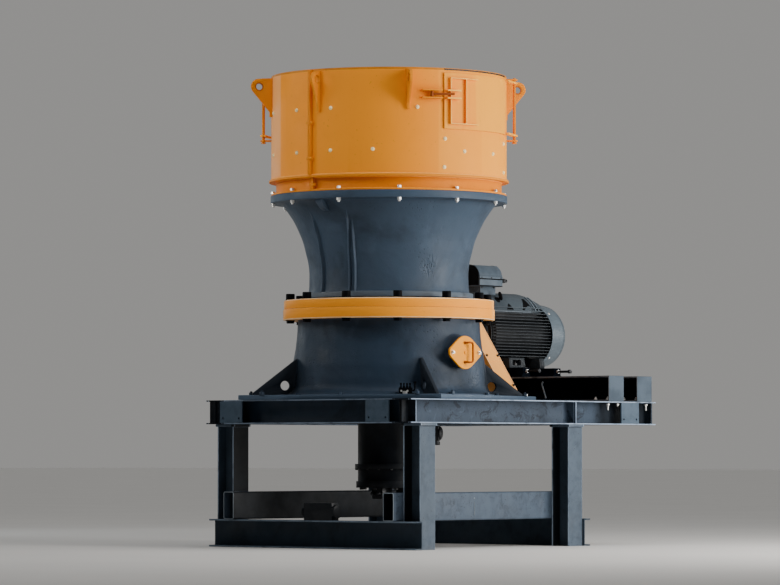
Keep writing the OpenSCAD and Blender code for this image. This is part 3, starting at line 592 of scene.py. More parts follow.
def motor_paint(name, my, mz):
    """Finned housing: nearly black between the fins as painted shade, greyer on the fin tips as painted highlight, and
    greyer on the smooth hood.
    """
    n = Nodes(name)
    h = n.math("SUBTRACT", n.axis(2), mz)
    ay = n.math("ABSOLUTE", n.math("SUBTRACT", n.axis(1), my))
    w = n.math("SUBTRACT", 0.254, n.math("MULTIPLY", n.math("MULTIPLY", h, h), 1.25))
    # tip marks the fin tips for a painted highlight; the near-black colour below stands for painted shade between the
    # fins
    tip = n.ramp(n.math("SUBTRACT", ay, w), -0.013, -0.003)
    tip = n.math("MULTIPLY", tip, n.ramp(n.noise(22.0, 4, 0.6), 0.30, 0.65, 0.35, 1.0))
    col = n.mix(n.ramp(n.noise(6.0, 5, 0.6), 0.4, 0.7), (0.0030, 0.0038, 0.0048), (0.0055, 0.0068, 0.0085))
    col = n.mix(tip, col, (0.026, 0.032, 0.038))
    hood = n.mix(n.ramp(n.noise(3.0, 6, 0.62, distort=0.6), 0.42, 0.72), (0.062, 0.080, 0.096), (0.038, 0.050, 0.062))
    hood = n.mix(n.math("MULTIPLY", n.ramp(n.noise(60.0, 2, 0.5), 0.66, 0.74), 0.5), hood, (0.016, 0.020, 0.024))
    col = n.mix(n.ramp(h, 0.183, 0.191), col, hood)
    r = n.ramp(n.noise(7.5, 5, 0.6), 0.3, 0.75, 0.40, 0.56)
    b = n.math("ADD", n.math("MULTIPLY", n.noise(150.0, 3, 0.55), 0.6), n.noise(26.0, 4, 0.6))
    return n.out(col, r, n.bump(b, 0.30, 0.0020), Specular_IOR_Level=0.18)


def rubber(name, base=(0.018, 0.018, 0.019)):
    n = Nodes(name)
    c = n.mix(n.ramp(n.noise(14.0, 5, 0.6), 0.45, 0.7), base, tuple(v * 1.7 + 0.008 for v in base))
    c = n.mix(n.math("MULTIPLY", n.ramp(n.noise(70.0, 3, 0.6), 0.55, 0.72), 0.4), c, (0.08, 0.075, 0.068))
    h = n.noise(420.0, 2, 0.5)
    return n.out(c, n.ramp(n.noise(20.0, 3, 0.5), 0.3, 0.7, 0.55, 0.75), n.bump(h, 0.3, 0.0006))


# base colours are given as the paint's own colour, before the light, except where a comment below says painted light or
# painted shade
M = {}
M["frame"] = steel_paint("frame_steel_paint", (0.030, 0.043, 0.062), blotch=0.40)
M["frame_b"] = steel_paint("frame_plate_paint", (0.027, 0.048, 0.074), cloud=0.55, seed=1.7, gloss=0.28, dust=0.05)
PATCHES = [((AX - 0.2252, -0.6023, 2.222), 0.105), ((AX + 0.2252, 0.6023, 2.222), 0.105)]
M["cast"] = cast_paint("casting_paint", (0.044, 0.071, 0.110), swirl=0.75, spots=PATCHES, gloss=0.19)
# darker copy of the casting paint as painted shade, for the lower shell and the parts round it
M["cast_low"] = cast_paint("casting_paint_low", (0.025, 0.043, 0.071), pit=1.5, swirl=0.85, gloss=0.18, corners=[(-65.5, -16.0, 0.730, 0.770), (114.5, 164.0, 0.730, 0.770)])
# near-black copy of the casting paint as painted shade, for the gusset ribs
M["cast_rib"] = cast_paint("casting_paint_rib", (0.0062, 0.0108, 0.0180), pit=1.2, swirl=0.5, edge=0.4, gloss=0.06)
M["cast_in"] = cast_paint("casting_paint_inner", (0.040, 0.056, 0.076), pit=0.8)
M["orange"] = orange_paint("orange_paint", (0.74, 0.222, 0.003))
# tints for painted light and a painted reflection on the hopper wall
_PAINTED_LIGHT = (1.0, 0.375, 0.020)
_PAINTED_REFLECTION = (0.86, 0.430, 0.200)
# hopper wall: lighter bands by bearing as painted light, a pale band as painted reflection, and a dark band under the
# rim as a painted shadow line
M["orange_wall"] = orange_paint("hopper_wall_paint", (0.87, 0.250, 0.003), grime=0.45, bands=[(0.90, 3.7470, 3.7640, (0.26, 0.060, 0.004))], steps=[(-115.4, -88.9, _PAINTED_LIGHT, 0.55), (-88.9, -30.0, _PAINTED_LIGHT, 0.85), (-176.0, -159.0, _PAINTED_LIGHT, 0.05), (120.0, 154.8, _PAINTED_REFLECTION, 0.80),
                                                                                                (64.6, 91.1, _PAINTED_LIGHT, 0.55), (91.1, 130.0, _PAINTED_LIGHT, 0.70)])
# clamp rings: light bands on their rims as painted highlight, and a painted sheen where the surface turns away
M["orange_ring"] = orange_paint("orange_ring_paint", (0.93, 0.295, 0.010), fade=0.25, streak=0.12, grime=0.25, bands=[(0.826, 1.9600, 1.9665, (1.0, 0.86, 0.62)), (0.826, 1.8075, 1.8140, (1.0, 0.86, 0.62))], facing=0.55)
M["orange_rib"] = orange_paint("orange_rib_paint", (0.70, 0.208, 0.002), streak=0.15)
# lighter orange for the weld beads and rope round the hopper: painted highlight
M["orange_bead"] = orange_paint("bead_paint", (0.96, 0.38, 0.06), fade=0.2, streak=0.1, grime=0.2)
# doors: light orange on the ribs' outer edges as painted highlight
M["orange_door"] = orange_paint("orange_door_paint", (0.96, 0.330, 0.014), streak=0.22, tips=[(0.9835, 0.990), (1.0105, 1.0150)])
M["guard"] = orange_paint("guard_paint", (0.93, 0.37, 0.090), fade=0.25, streak=0.12, grime=0.3)
M["dark"] = metal("dark_steel", (0.020, 0.022, 0.026), (0.35, 0.6), metallic=0.3, stain=(0.009, 0.009, 0.010), amount=0.5)
M["cylinder"] = steel_paint("cylinder_paint", (0.0040, 0.0060, 0.0090), cloud=0.6, speck=0.4, edge=0.2, dust=0.02, gloss=0.16)
M["mang"] = manganese("manganese_steel")
M["bright"] = metal("turned_steel", (0.55, 0.56, 0.58), (0.18, 0.36), stain=(0.30, 0.28, 0.26))
M["motor"] = motor_paint("motor_paint", 0.270, 1.736)
M["hood"] = cast_paint("motor_hood_paint", (0.085, 0.110, 0.135), rough=(0.36, 0.52), pit=0.2, swirl=0.3)
# lighter orange for the guard's rolled edges: painted highlight
M["guard_edge"] = orange_paint("guard_edge_paint", (1.0, 0.60, 0.30), fade=0.2, streak=0.1, grime=0.2)
# darker orange-brown for the latch bolts
M["dark_orange"] = orange_paint("latch_paint", (0.26, 0.060, 0.010), fade=0.3, streak=0.1, grime=0.5)
M["foot_flange"] = cast_paint("foot_flange_paint", (0.060, 0.088, 0.122), pit=0.4, swirl=0.4)
M["screw"] = cast_paint("blackened_screws", (0.0008, 0.0014, 0.0028), rough=(0.5, 0.7), pit=0.1, swirl=0.3, edge=0.0, gloss=0.06)
M["terminal"] = steel_paint("terminal_box_paint", (0.046, 0.066, 0.088), cloud=0.6, speck=0.6, edge=0.3, rough=(0.40, 0.56), dust=0.0, seed=2.3, gloss=0.25)
# dark strip under the hopper's rim: painted shadow line
M["brown"] = rubber("shadow_strip_dark", (0.012, 0.006, 0.004))
# near-black paint: used as painted shade on the hood patches, the shadow gaps and the terminal box's ends, and on the
# lifting eyes
M["void"] = cast_paint("near_black_paint", (0.0030, 0.0035, 0.0042), rough=(0.6, 0.8), pit=0.1, swirl=0.2, edge=0.0, gloss=0.06)
# darker copy of the orange as painted shade, for the hatch handle and the rings in the lug eyes
M["handle"] = orange_paint("handle_paint", (0.34, 0.072, 0.004), fade=0.25, streak=0.1, grime=0.4, edge=0.5)
M["hatch"] = orange_paint("hatch_paint", (0.94, 0.300, 0.008), fade=0.30, streak=0.1, grime=0.3, edge=0.6)
# legs: painted highlight lines at the flange edges, painted shade on the inner faces
M["frame_legs"] = steel_paint("leg_paint", (0.036, 0.055, 0.080), rims=[(0, 0.929, 0.090, True)], blotch=0.22, inner=0.905, gloss=0.30, dust=0.10)
# tubes: painted shade on the inner faces
M["frame_tube"] = steel_paint("tube_paint", (0.034, 0.052, 0.078), blotch=0.35, inner=0.800, gloss=0.24, dust=0.08)
# channels: a painted highlight line along an edge
M["frame_foot"] = steel_paint("channel_paint", (0.013, 0.026, 0.042), gloss=0.20, dust=0.0, rims=[(0, 1.099, 0.0, True)])
# main beams: painted highlight lines along the flange edges, painted shade past planes near both ends of the webs
M["frame_beam"] = steel_paint("main_beam_paint", (0.046, 0.066, 0.097), cloud=0.7, speck=0.95, edge=0.0, gloss=0.10, dust=0.05,
                              rims=[(1, 0.972, 0.100, True), (1, 0.972, 0.095, True), (1, 0.972, 0.074, True)], shade=[(0, 1.24, 1.40, 0.96), (0, -1.035, -1.062, 0.96)], blotch=0.80)
# darker copy of the frame paint as painted shade for the cross beams, with painted highlight lines at their flanges
M["frame_cross"] = steel_paint("cross_beam_paint", (0.014, 0.027, 0.046), cloud=0.8, speck=0.6, edge=0.0, gloss=0.16, dust=0.0, rims=[(0, -1.042, 0.100, False), (0, 0.756, 0.100, False), (0, 1.646, 0.100, False)])
# near-black copy of the frame paint as painted shade for the motor beams and slide rails, end plates painted lighter as
# painted light, painted highlight lines at the flanges
M["frame_dark"] = steel_paint("motor_beam_paint", (0.0008, 0.0024, 0.0055), cloud=0.6, edge=0.0, gloss=0.03, rough=(0.7, 0.9), dust=0.0, plates=[(1, 1.0700, (0.085, 0.112, 0.145))], rims=[(0, 1.460, 0.100, False), (0, 1.843, 0.100, False)])
# lighter copy of the frame paint, as painted highlight on tube ends, a weld seam and the eye bar
M["frame_light"] = steel_paint("highlight_frame_paint", (0.13, 0.16, 0.19), cloud=0.4, speck=0.4, edge=0.3, dust=0.0)
M["cowl"] = steel_paint("cowl_paint", (0.062, 0.084, 0.104), cloud=0.35, speck=0.25, edge=0.3, rough=(0.36, 0.50), dust=0.0, seed=0.9)
M["liner"] = liner_mat("liner_steel")
M["belt"] = rubber("belt_rubber")
M["zinc"] = metal("zinc_bolts", (0.82, 0.82, 0.80), (0.28, 0.46), metallic=0.75, stain=(0.48, 0.46, 0.42), amount=0.3)
M["cream"] = orange_paint("bolt_cream", (1.0, 0.80, 0.42), fade=0.2, streak=0.1, grime=0.2)
M["black"] = metal("black_bolts", (0.008, 0.009, 0.011), (0.38, 0.6), metallic=0.2, stain=(0.004, 0.004, 0.005), amount=0.4, wear=0.10)
M["weld"] = steel_paint("weld_paint", (0.036, 0.050, 0.070), cloud=0.4, speck=0.3, edge=0.2)


# ------------------------------------------------------------------ CAD nodes: finish, smoothing, broken edges
def node_object(name):
    return bpy.data.objects[name]


_groups = {}


def smooth_group(angle):
    """Geometry-nodes modifier: drop the imported normals and shade smooth up to an edge angle."""
    key = round(angle)
    if key in _groups:
        return _groups[key]
    g = bpy.data.node_groups.new("shade_%d" % key, "GeometryNodeTree")
    g.interface.new_socket("Geometry", in_out="INPUT", socket_type="NodeSocketGeometry")
    g.interface.new_socket("Geometry", in_out="OUTPUT", socket_type="NodeSocketGeometry")
    gi, go = g.nodes.new("NodeGroupInput"), g.nodes.new("NodeGroupOutput")
    rm = g.nodes.new("GeometryNodeRemoveAttribute")
    rm.inputs["Name"].default_value = "custom_normal"
    merge = g.nodes.new("GeometryNodeMergeByDistance")
    merge.inputs["Distance"].default_value = 0.00002
    face = g.nodes.new("GeometryNodeSetShadeSmooth")
    face.domain = "FACE"
    face.inputs["Shade Smooth"].default_value = True
    edge = g.nodes.new("GeometryNodeSetShadeSmooth")
    edge.domain = "EDGE"
    ang = g.nodes.new("GeometryNodeInputMeshEdgeAngle")
    cmp_ = g.nodes.new("FunctionNodeCompare")
    cmp_.data_type = "FLOAT"
    cmp_.operation = "LESS_THAN"
    cmp_.inputs[1].default_value = math.radians(angle)
    L = g.links.new
    L(gi.outputs[0], rm.inputs["Geometry"])
    L(rm.outputs["Geometry"], merge.inputs["Geometry"])
    L(merge.outputs["Geometry"], face.inputs["Geometry"])
    L(face.outputs["Geometry"], edge.inputs["Geometry"])
    L(ang.outputs["Unsigned Angle"], cmp_.inputs[0])
    L(cmp_.outputs["Result"], edge.inputs["Shade Smooth"])
    L(edge.outputs["Geometry"], go.inputs[0])
    _groups[key] = g
    return g


def finish_node(name, mat, bevel=0.0, segs=2, angle=32, limit=40):
    ob = node_object(name)
    for i in range(max(1, len(ob.material_slots))):
        if len(ob.material_slots) == 0:
            ob.data.materials.append(mat)
        ob.material_slots[i].material = mat
    m = ob.modifiers.new("shade", "NODES")
    m.node_group = smooth_group(angle)
    if bevel:
        b = ob.modifiers.new("bevel", "BEVEL")
        b.width = bevel
        b.segments = segs
        b.limit_method = "ANGLE"
        b.angle_limit = math.radians(limit)
        b.use_clamp_overlap = True
        b.harden_normals = False
        b.miter_outer = "MITER_ARC"
        m2 = ob.modifiers.new("shade_again", "NODES")
        m2.node_group = smooth_group(angle)
    return ob


FINISH = {
    "base_channels": ("frame_foot", 0.004), "legs": ("frame_legs", 0.004), "cross_tubes": ("frame_tube", 0.0),
    "main_beams": ("frame_beam", 0.004), "cross_beams": ("frame_cross", 0.004), "bolting_plates": ("frame_b", 0.0),
    "motor_beams": ("frame_dark", 0.004), "lube_box": ("cylinder", 0.006), "base_plate": ("cast", 0.005),
    "bottom_shell": ("cast_low", 0.0), "inner_hub": ("cast_in", 0.006), "gusset_ribs": ("cast_rib", 0.005),
    "hatch_neck": ("cast_low", 0.003), "hatch_cover": ("orange", 0.003), "lower_clamp_ring": ("orange_ring", 0.005),
    "upper_clamp_ring": ("orange_ring", 0.005), "top_shell": ("cast", 0.0), "spider": ("cast_in", 0.012),
    "spider_cap": ("cast", 0.006), "concave": ("mang", 0.0), "mantle": ("mang", 0.0), "main_shaft": ("bright", 0.003),
    "step_cylinder": ("cylinder", 0.006), "cylinder_fittings": ("dark", 0.004), "pinion_housing": ("cast_low", 0.005),
    "pinion_shaft": ("bright", 0.003), "crusher_sheave": ("dark", 0.0), "motor_sheave": ("dark", 0.0),
    "drive_belts": ("belt", 0.002), "belt_guard_upper": ("guard", 0.002), "belt_guard_lower": ("guard", 0.002),
    "slide_rails": ("frame_dark", 0.003), "adjusting_screws": ("dark", 0.001), "motor_housing": ("motor", 0.0015),
    "motor_feet": ("motor", 0.004), "drive_end_shield": ("motor", 0.004), "motor_shaft": ("bright", 0.002),
    "fan_cowl": ("cowl", 0.0), "terminal_box": ("terminal", 0.005), "hopper_skirt": ("orange", 0.002),
    "hopper_ring": ("orange_rib", 0.003), "hopper_wall": ("orange_wall", 0.0), "hopper_liner": ("liner", 0.0),
    "joint_flanges": ("orange_rib", 0.002), "lifting_lugs": ("orange_rib", 0.003), "hinge_brackets": ("orange_rib", 0.002),
    "hinge_pins": ("orange_rib", 0.0015), "latch_brackets": ("orange_rib", 0.002), "latch_bolts": ("dark_orange", 0.0015),
    "right_door": ("orange_door", 0.0015), "left_door": ("orange_door", 0.0015),
}
for _n, (_m, _b) in FINISH.items():
    finish_node(_n, M[_m], _b)
for _n in NODES:
    if _n not in FINISH:
        raise SystemExit("no finish for node " + _n)


# ------------------------------------------------------------------ castings: the two shells in full detail
def catmull(points, step):
    """A smooth curve through (r, z) points, sampled about every `step` metres."""
    pts = [points[0]] + list(points) + [points[-1]]
    out = []
    for i in range(1, len(pts) - 2):
        p0, p1, p2, p3 = (Vector(pts[i + k]) for k in (-1, 0, 1, 2))
        n = max(1, int((p2 - p1).length / step))
        for j in range(n):
            t = j / n
            out.append(0.5 * ((2 * p1) + (p2 - p0) * t + (2 * p0 - 5 * p1 + 4 * p2 - p3) * t * t + (3 * p1 - p0 - 3 * p2 + p3) * t ** 3))
    out.append(Vector(points[-1]))
    return out


def angles(coarse, dense):
    """Angles round the axis: every `coarse` degrees, and finer inside the dense spans (a0, a1, step)."""
    got = set()
    a = -180.0
    while a < 180.0 - 1e-6:
        if not any(d0 <= a <= d1 for d0, d1, _ in dense):
            got.add(round(a, 4))
        a += coarse
    for d0, d1, st in dense:
        n = int(round((d1 - d0) / st))
        for i in range(n + 1):
            v = d0 + (d1 - d0) * i / n
            v = (v + 180.0) % 360.0 - 180.0
            got.add(round(v, 4))
    return sorted(got)


def wrap(d):
    return (d + 180.0) % 360.0 - 180.0


def lathe(name, outer, inner, angs, push):
    """Outer and inner profiles turned round the crusher's axis; push(a, r, z) moves an outer point outward."""
    bm = bmesh.new()
    rows = []
    for r, z in outer:
        rows.append([bm.verts.new(polar(a, r + push(a, r, z), z)) for a in angs])
    for r, z in inner:
        rows.append([bm.verts.new(polar(a, r, z)) for a in angs])
    n = len(angs)
    m = len(rows)
    for i in range(m):
        a, b = rows[i], rows[(i + 1) % m]
        for k in range(n):
            j = (k + 1) % n
            bm.faces.new((a[k], a[j], b[j], b[k]))
    bmesh.ops.recalc_face_normals(bm, faces=list(bm.faces))
    return from_bmesh(name, bm, 38)


def crest(d, w):
    """A rounded ridge's section: 1 on its line, 0 at w to either side."""
    t = min(1.0, abs(d) / w)
    return (1 - t * t) ** 1.15


def sstep(a, b, x):
    t = min(1.0, max(0.0, (x - a) / (b - a)))
    return t * t * (3 - 2 * t)


# each ridge: (angle at the waist, angle near the top, height, half width, z where it starts, z where it is full)
RIDGES = [(167.2, 168.6, 0.027, 0.014, 2.665, 2.50), (165.0, 167.0, 0.013, 0.010, 2.58, 2.40),
          (-168.3, -165.2, 0.026, 0.013, 2.675, 2.54), (-164.0, -162.9, 0.021, 0.0115, 2.62, 2.44)]
DENTS = []
_r = random.Random(31)
for _i in range(90):
    _a = -110.5 + _r.gauss(0, 2.3)
    _z = 2.222 + _r.gauss(0, 0.033)
    DENTS.append((_a, _z, _r.uniform(0.0045, 0.0090), _r.uniform(0.0020, 0.0050)))
for _i in range(46):
    DENTS.append((_r.uniform(-160, -85), _r.uniform(2.06, 2.6), _r.uniform(0.004, 0.007), _r.uniform(0.0008, 0.0018)))


def top_push(a, r, z):
    if z > 2.735 or z < 2.0:
        return 0.0
    out = 0.0
    for half in (0.0, 180.0):
        for wa, ta, h, w, z0, z1 in RIDGES:
            line_a = wa + (ta - wa) * sstep(2.25, 2.62, z) + half
            d = math.radians(wrap(a - line_a)) * r
            if abs(d) < w:
                k = sstep(z0, z1, z) * sstep(1.985, 2.03, z)
                out = max(out, h * crest(d, w) * k)
    soft = 0.0012 * mnoise.noise(Vector((math.cos(math.radians(a)) * r * 5, math.sin(math.radians(a)) * r * 5, z * 4)))
    soft += 0.0007 * mnoise.noise(Vector((math.cos(math.radians(a)) * r * 17, math.sin(math.radians(a)) * r * 17, z * 15)))
    dent = 0.0
    for da, dz, dr, dd in DENTS:
        if abs(z - dz) < dr:
            x = math.radians(wrap(a - da)) * r
            q = (x * x + (z - dz) ** 2) / (dr * dr)
            if q < 1:
                dent = max(dent, dd * (1 - q) ** 0.7)
    # two shallow handling scores and a cast mark
    for da, dz, la, lz, dd in ((-124.6, 2.60, 1.1, 0.035, 0.0011), (-127.2, 2.53, 0.35, 0.10, 0.0008), (-112.0, 2.520, 3.4, 0.007, 0.0016), (-103.8, 2.519, 1.2, 0.011, 0.0030)):
        q = (wrap(a - da) / la) ** 2 + ((z - dz) / lz) ** 2
        if q < 1:
            dent = max(dent, dd * (1 - q))
    return out + soft - 0.0012 - dent


TOP_OUT = [(0.704, 1.966), (0.7035, 1.969), (0.690, 1.9735), (0.678, 1.9785), (0.664, 1.990), (0.654, 2.006), (0.6465, 2.030), (0.642, 2.062), (0.640, 2.10), (0.640, 2.20), (0.650, 2.279),
           (0.662, 2.327), (0.674, 2.375), (0.687, 2.424), (0.704, 2.472), (0.725, 2.520), (0.748, 2.569), (0.774, 2.617), (0.806, 2.665), (0.832, 2.704), (0.846, 2.722), (0.862, 2.735)]
_out = catmull(TOP_OUT, 0.0125)
_fl = [(0.900, 2.7415), (0.942, 2.7435), (0.9465, 2.7445), (0.9492, 2.7475), (0.950, 2.752), (0.950, 2.797), (0.9490, 2.8010), (0.9465, 2.8035), (0.942, 2.804), (0.845, 2.804)]
_in = [(0.840, 2.8035), (0.820, 2.750), (0.800, 2.700), (0.750, 2.630), (0.700, 2.560), (0.668, 2.500), (0.640, 2.440), (0.620, 2.365), (0.606, 2.290), (0.602, 2.130), (0.598, 1.970), (0.601, 1.966)]
_dense = [(159.0, 171.0, 0.22), (-172.0, -159.0, 0.22), (-21.0, -9.0, 0.5), (8.0, 21.0, 0.5), (-118.0, -103.0, 0.38)]
top = lathe("top_shell_cast", [tuple(p) for p in _out] + _fl, _in, angles(1.6, _dense), top_push)
place(top, M["cast"], "main")
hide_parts("top_shell")

# small gussets under the flange
bm = bmesh.new()
for a in (-178.0, 2.0):
    n = radial(a)
    t = Vector((-n.y, n.x, 0))
    prism(bm, [(0.778, 2.652), (0.800, 2.655), (0.838, 2.668), (0.893, 2.716), (0.900, 2.728), (0.900, 2.7425), (0.83, 2.7425), (0.790, 2.70)], Vector((AX, 0, 0)), n, Vector((0, 0, 1)), 0.058, 0.004)
g = from_bmesh("flange_gussets", bm)
place(g, M["cast"], "main")


def bottom_push(a, r, z):
    if z < 1.24:
        return 0.0
    v = Vector((math.cos(math.radians(a)) * r, math.sin(math.radians(a)) * r, z))
    soft = 0.0013 * mnoise.noise(v * 5.0) + 0.0008 * mnoise.noise(v * 16.0 + Vector((3, 1, 7)))
    return (soft - 0.0013) * sstep(1.24, 1.30, z)


# the lower shell keeps its CAD solid's bores, so its skin is refined in place with a mesh of its own
BOT_OUT = [(0.8478, 1.2055), (0.848, 1.212), (0.8455, 1.2155), (0.838, 1.2175), (0.828, 1.221), (0.817, 1.2285), (0.806, 1.2425), (0.798, 1.259), (0.793, 1.283), (0.790, 1.31), (0.7875, 1.335), (0.7845, 1.357),
           (0.781, 1.379), (0.7775, 1.411), (0.774, 1.445), (0.762, 1.514), (0.750, 1.582), (0.743, 1.640), (0.737, 1.695), (0.7335, 1.755), (0.732, 1.8075)]


def bottom_shell_mesh():
    """Outer skin with round openings for the pinion's pad and the hatch, inner skin, foot and top."""
    outer = [tuple(p) for p in catmull(BOT_OUT, 0.0135)]
    inner = [(0.692, 1.8075), (0.694, 1.700), (0.700, 1.582), (0.708, 1.515), (0.716, 1.445), (0.7175, 1.36), (0.719, 1.28), (0.720, 1.2055)]
    angs = angles(1.6, [(-107.5, -81.0, 0.55), (-17.0, 17.0, 0.7)])
    bm = bmesh.new()
    rows = [[bm.verts.new(polar(a, r + bottom_push(a, r, z), z)) for a in angs] for r, z in outer]
    rows += [[bm.verts.new(polar(a, r, z)) for a in angs] for r, z in inner]
    n, m, no = len(angs), len(rows), len(outer)
    holes = [(Vector((1, 0, 0)), Vector((AX, 0, 1.425)), 0.1515), (radial(-94.3), Vector((AX, 0, 1.538)), 0.1200)]

    def inside(v):
        for n_, c_, r_ in holes:
            d = v - c_
            along = d.dot(n_)
            if along > 0.3 and (d - n_ * along).length < r_:
                return True
        return False
    for i in range(m):
        a, b = rows[i], rows[(i + 1) % m]
        for k in range(n):
            j = (k + 1) % n
            q = (a[k], a[j], b[j], b[k])
            if all(inside(v.co) for v in q):
                continue
            bm.faces.new(q)
    # pull the ragged rims of the openings onto true circles
    for v in [v for v in bm.verts if not v.link_faces]:
        bm.verts.remove(v)
    for e in [e for e in bm.edges if len(e.link_faces) == 1]:
        for v in e.verts:
            for n_, c_, r_ in holes:
                d = v.co - c_
                along = d.dot(n_)
                side = d - n_ * along
                if along > 0.3 and side.length < r_ + 0.03:
                    v.co = c_ + n_ * along + side.normalized() * (r_ - 0.0015)
    bmesh.ops.recalc_face_normals(bm, faces=list(bm.faces))
    ob = from_bmesh("bottom_shell_cast", bm, 38)
    return ob


low = bottom_shell_mesh()
place(low, M["cast_low"], "main")

# the pinion housing's cast pad: a blended boss with its flange face
def collar(bm, at, n, profile, segs):
    """A turned ring: the profile is closed on itself, so nothing spans the bore."""
    m = basis(n)
    rows = [[bm.verts.new(at + m @ Vector((r * math.cos(2 * math.pi * i / segs), r * math.sin(2 * math.pi * i / segs), h))) for i in range(segs)] for r, h in profile]
    for k in range(len(rows)):
        a, b = rows[k], rows[(k + 1) % len(rows)]
        for i in range(segs):
            j = (i + 1) % segs
            bm.faces.new((a[i], a[j], b[j], b[i]))
    bmesh.ops.recalc_face_normals(bm, faces=list(bm.faces))


bm = bmesh.new()
n = Vector((1, 0, 0))
collar(bm, Vector((AX, 0, 1.425)), n, [(0.1502, 0.700), (0.250, 0.716), (0.2400, 0.744), (0.2250, 0.765), (0.2130, 0.788), (0.2065, 0.812), (0.2045, 0.824), (0.2010, 0.8292), (0.1502, 0.8295)], 96)
pad = from_bmesh("pinion_pad_cast", bm, 38)
for v in pad.data.vertices:
    if v.co.z < 1.2058:
        v.co.z = 1.2058
place(pad, M["cast_low"], "main")
# a fillet where the hatch's neck leaves the shell
bm = bmesh.new()
collar(bm, Vector((AX, 0, 1.538)), radial(-94.3), [(0.1176, 0.715), (0.158, 0.728), (0.145, 0.747), (0.1335, 0.758), (0.1260, 0.770), (0.1212, 0.785), (0.1185, 0.800), (0.1176, 0.802)], 72)
nf = from_bmesh("hatch_neck_fillet", bm, 38)
place(nf, M["cast_low"], "main")
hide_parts("bottom_shell")


# ------------------------------------------------------------------ fasteners of the castings and rings
UP = Vector((0, 0, 1))
RZ, RSEAM, RTOP = 1.808, 1.893, 1.966

bm = bmesh.new()       # tall cap screws over the clamp rings, and their nuts under the lower ring
for k in range(12):
    a = 15.25 + 30 * k
    p = polar(a, 0.792, RTOP)
    washer(bm, p, UP, 0.043, 0.006)
    cap_screw(bm, p + UP * 0.006, UP, 0.0355, 0.048)
    q = polar(a, 0.792, RZ)
    washer(bm, q, -UP, 0.037, 0.005)
    hexagon(bm, q - UP * 0.005, -UP, 0.055, 0.020, spin=rnd.uniform(0, 1))
rs = from_bmesh("ring_screws", bm)
place(rs, M["screw"], "main")

# turned foot of the upper shell over the clamp ring, and beneath it a near-black ring as painted shadow
bm = bmesh.new()
FT = Vector((AX, 0, 0))
collar(bm, FT, UP, [(0.640, 1.980), (0.6745, 1.980), (0.6765, 1.983), (0.6765, 2.014), (0.6745, 2.0195), (0.668, 2.0225), (0.640, 2.0225)], 160)
ff = from_bmesh("shell_foot_flange", bm, 30)
place(ff, M["foot_flange"], "main")
bm = bmesh.new()
collar(bm, FT, UP, [(0.668, 1.9664), (0.7065, 1.9664), (0.7065, 1.9700), (0.6900, 1.9780), (0.6765, 1.9800), (0.668, 1.9800)], 160)
fg = from_bmesh("shell_foot_shadow_gap", bm, 30)
place(fg, M["void"], "main")

bm = bmesh.new()       # zinc-plated bolts through the hopper's skirt and the top flange
for k in range(12):
    a = 15.25 + 30 * k
    p = polar(a, 0.930, 2.804 + 0.014)
    q = polar(a, 0.930, 2.744)
    d = 0.0205
    washer(bm, p, UP, 0.0175, 0.0035)
    hexagon(bm, p + UP * 0.0035, UP, 0.0300, 0.0150, spin=rnd.uniform(0, 1), dome=0.001)
    washer(bm, q, -UP, 0.0185, 0.0035)
    hexagon(bm, q - UP * 0.0035, -UP, 0.0300, 0.0170, spin=rnd.uniform(0, 1))
    threaded(bm, q - UP * 0.0205, -UP, 0.0098, 0.0120)
fb = from_bmesh("top_flange_bolts", bm)
place(fb, M["zinc"], "main")

# a dark gasket line between the two clamp rings
bm = bmesh.new()
for r, z, h in ((0.8395, RSEAM - 0.0015, 0.003),):
    ring = [[polar(a, rr, zz) for a in range(0, 360, 3)] for rr, zz in ((r - 0.03, z), (r + 0.0018, z), (r + 0.0018, z + h), (r - 0.03, z + h))]
    vs = [[bm.verts.new(p) for p in row] for row in ring]
    for i in range(4):
        for k in range(120):
            bm.faces.new((vs[i][k], vs[i][(k + 1) % 120], vs[(i + 1) % 4][(k + 1) % 120], vs[(i + 1) % 4][k]))
bmesh.ops.recalc_face_normals(bm, faces=list(bm.faces))
gk = from_bmesh("ring_joint_line", bm)
place(gk, M["dark"], "main")

# hopper wall: cream bolt heads that hold the liner plates, in the rows the wall shows
HOP = 0.945
# bearing round the axis and height of each head on one half of the wall; the other half repeats it
half_plane = [(144.1, 3.455), (170.0, 3.449), (-168.6, 3.449), (144.1, 3.120), (170.2, 3.113), (-168.8, 3.117), (-147.4, 3.119), (-126.1, 3.450),
              (-112.0, 3.208), (-100.8, 3.115), (-79.2, 3.114), (-112.4, 2.984), (-65.3, 3.210), (-65.3, 2.980)]
bm = bmesh.new()
for a, z in half_plane:
    for h in (0.0, 180.0):
        if not 2.94 < z < 3.74:
            continue
        n = radial(a + h)
        p = polar(a + h, HOP, z)
        washer(bm, p - n * 0.0006, n, 0.0160, 0.0036)
        # a low round head
        turned(bm, p + n * 0.0028, n, [(0.0128, 0), (0.0128, 0.003), (0.0112, 0.0068), (0.0072, 0.0090), (0.0025, 0.0098)], 20)
hb = from_bmesh("hopper_liner_bolts", bm)
place(hb, M["cream"], "main")

bm = bmesh.new()       # bolts that close the hopper's upright joint flanges
for a in (180.0, 0.0):
    n = radial(a)
    t = Vector((-n.y, n.x, 0))
    for z in (2.856, 3.06, 3.34):
        r = 0.963 if z > 2.93 else 0.923
        for s in (1, -1):
            p = Vector((AX, 0, z)) + n * r + t * (0.011 * s)
            washer(bm, p, t * s, 0.0150, 0.0026)
            hexagon(bm, p + t * s * 0.0026, t * s, 0.0250, 0.0150, spin=rnd.uniform(0, 1))
jb = from_bmesh("joint_flange_bolts", bm)
place(jb, M["orange_rib"], "main")

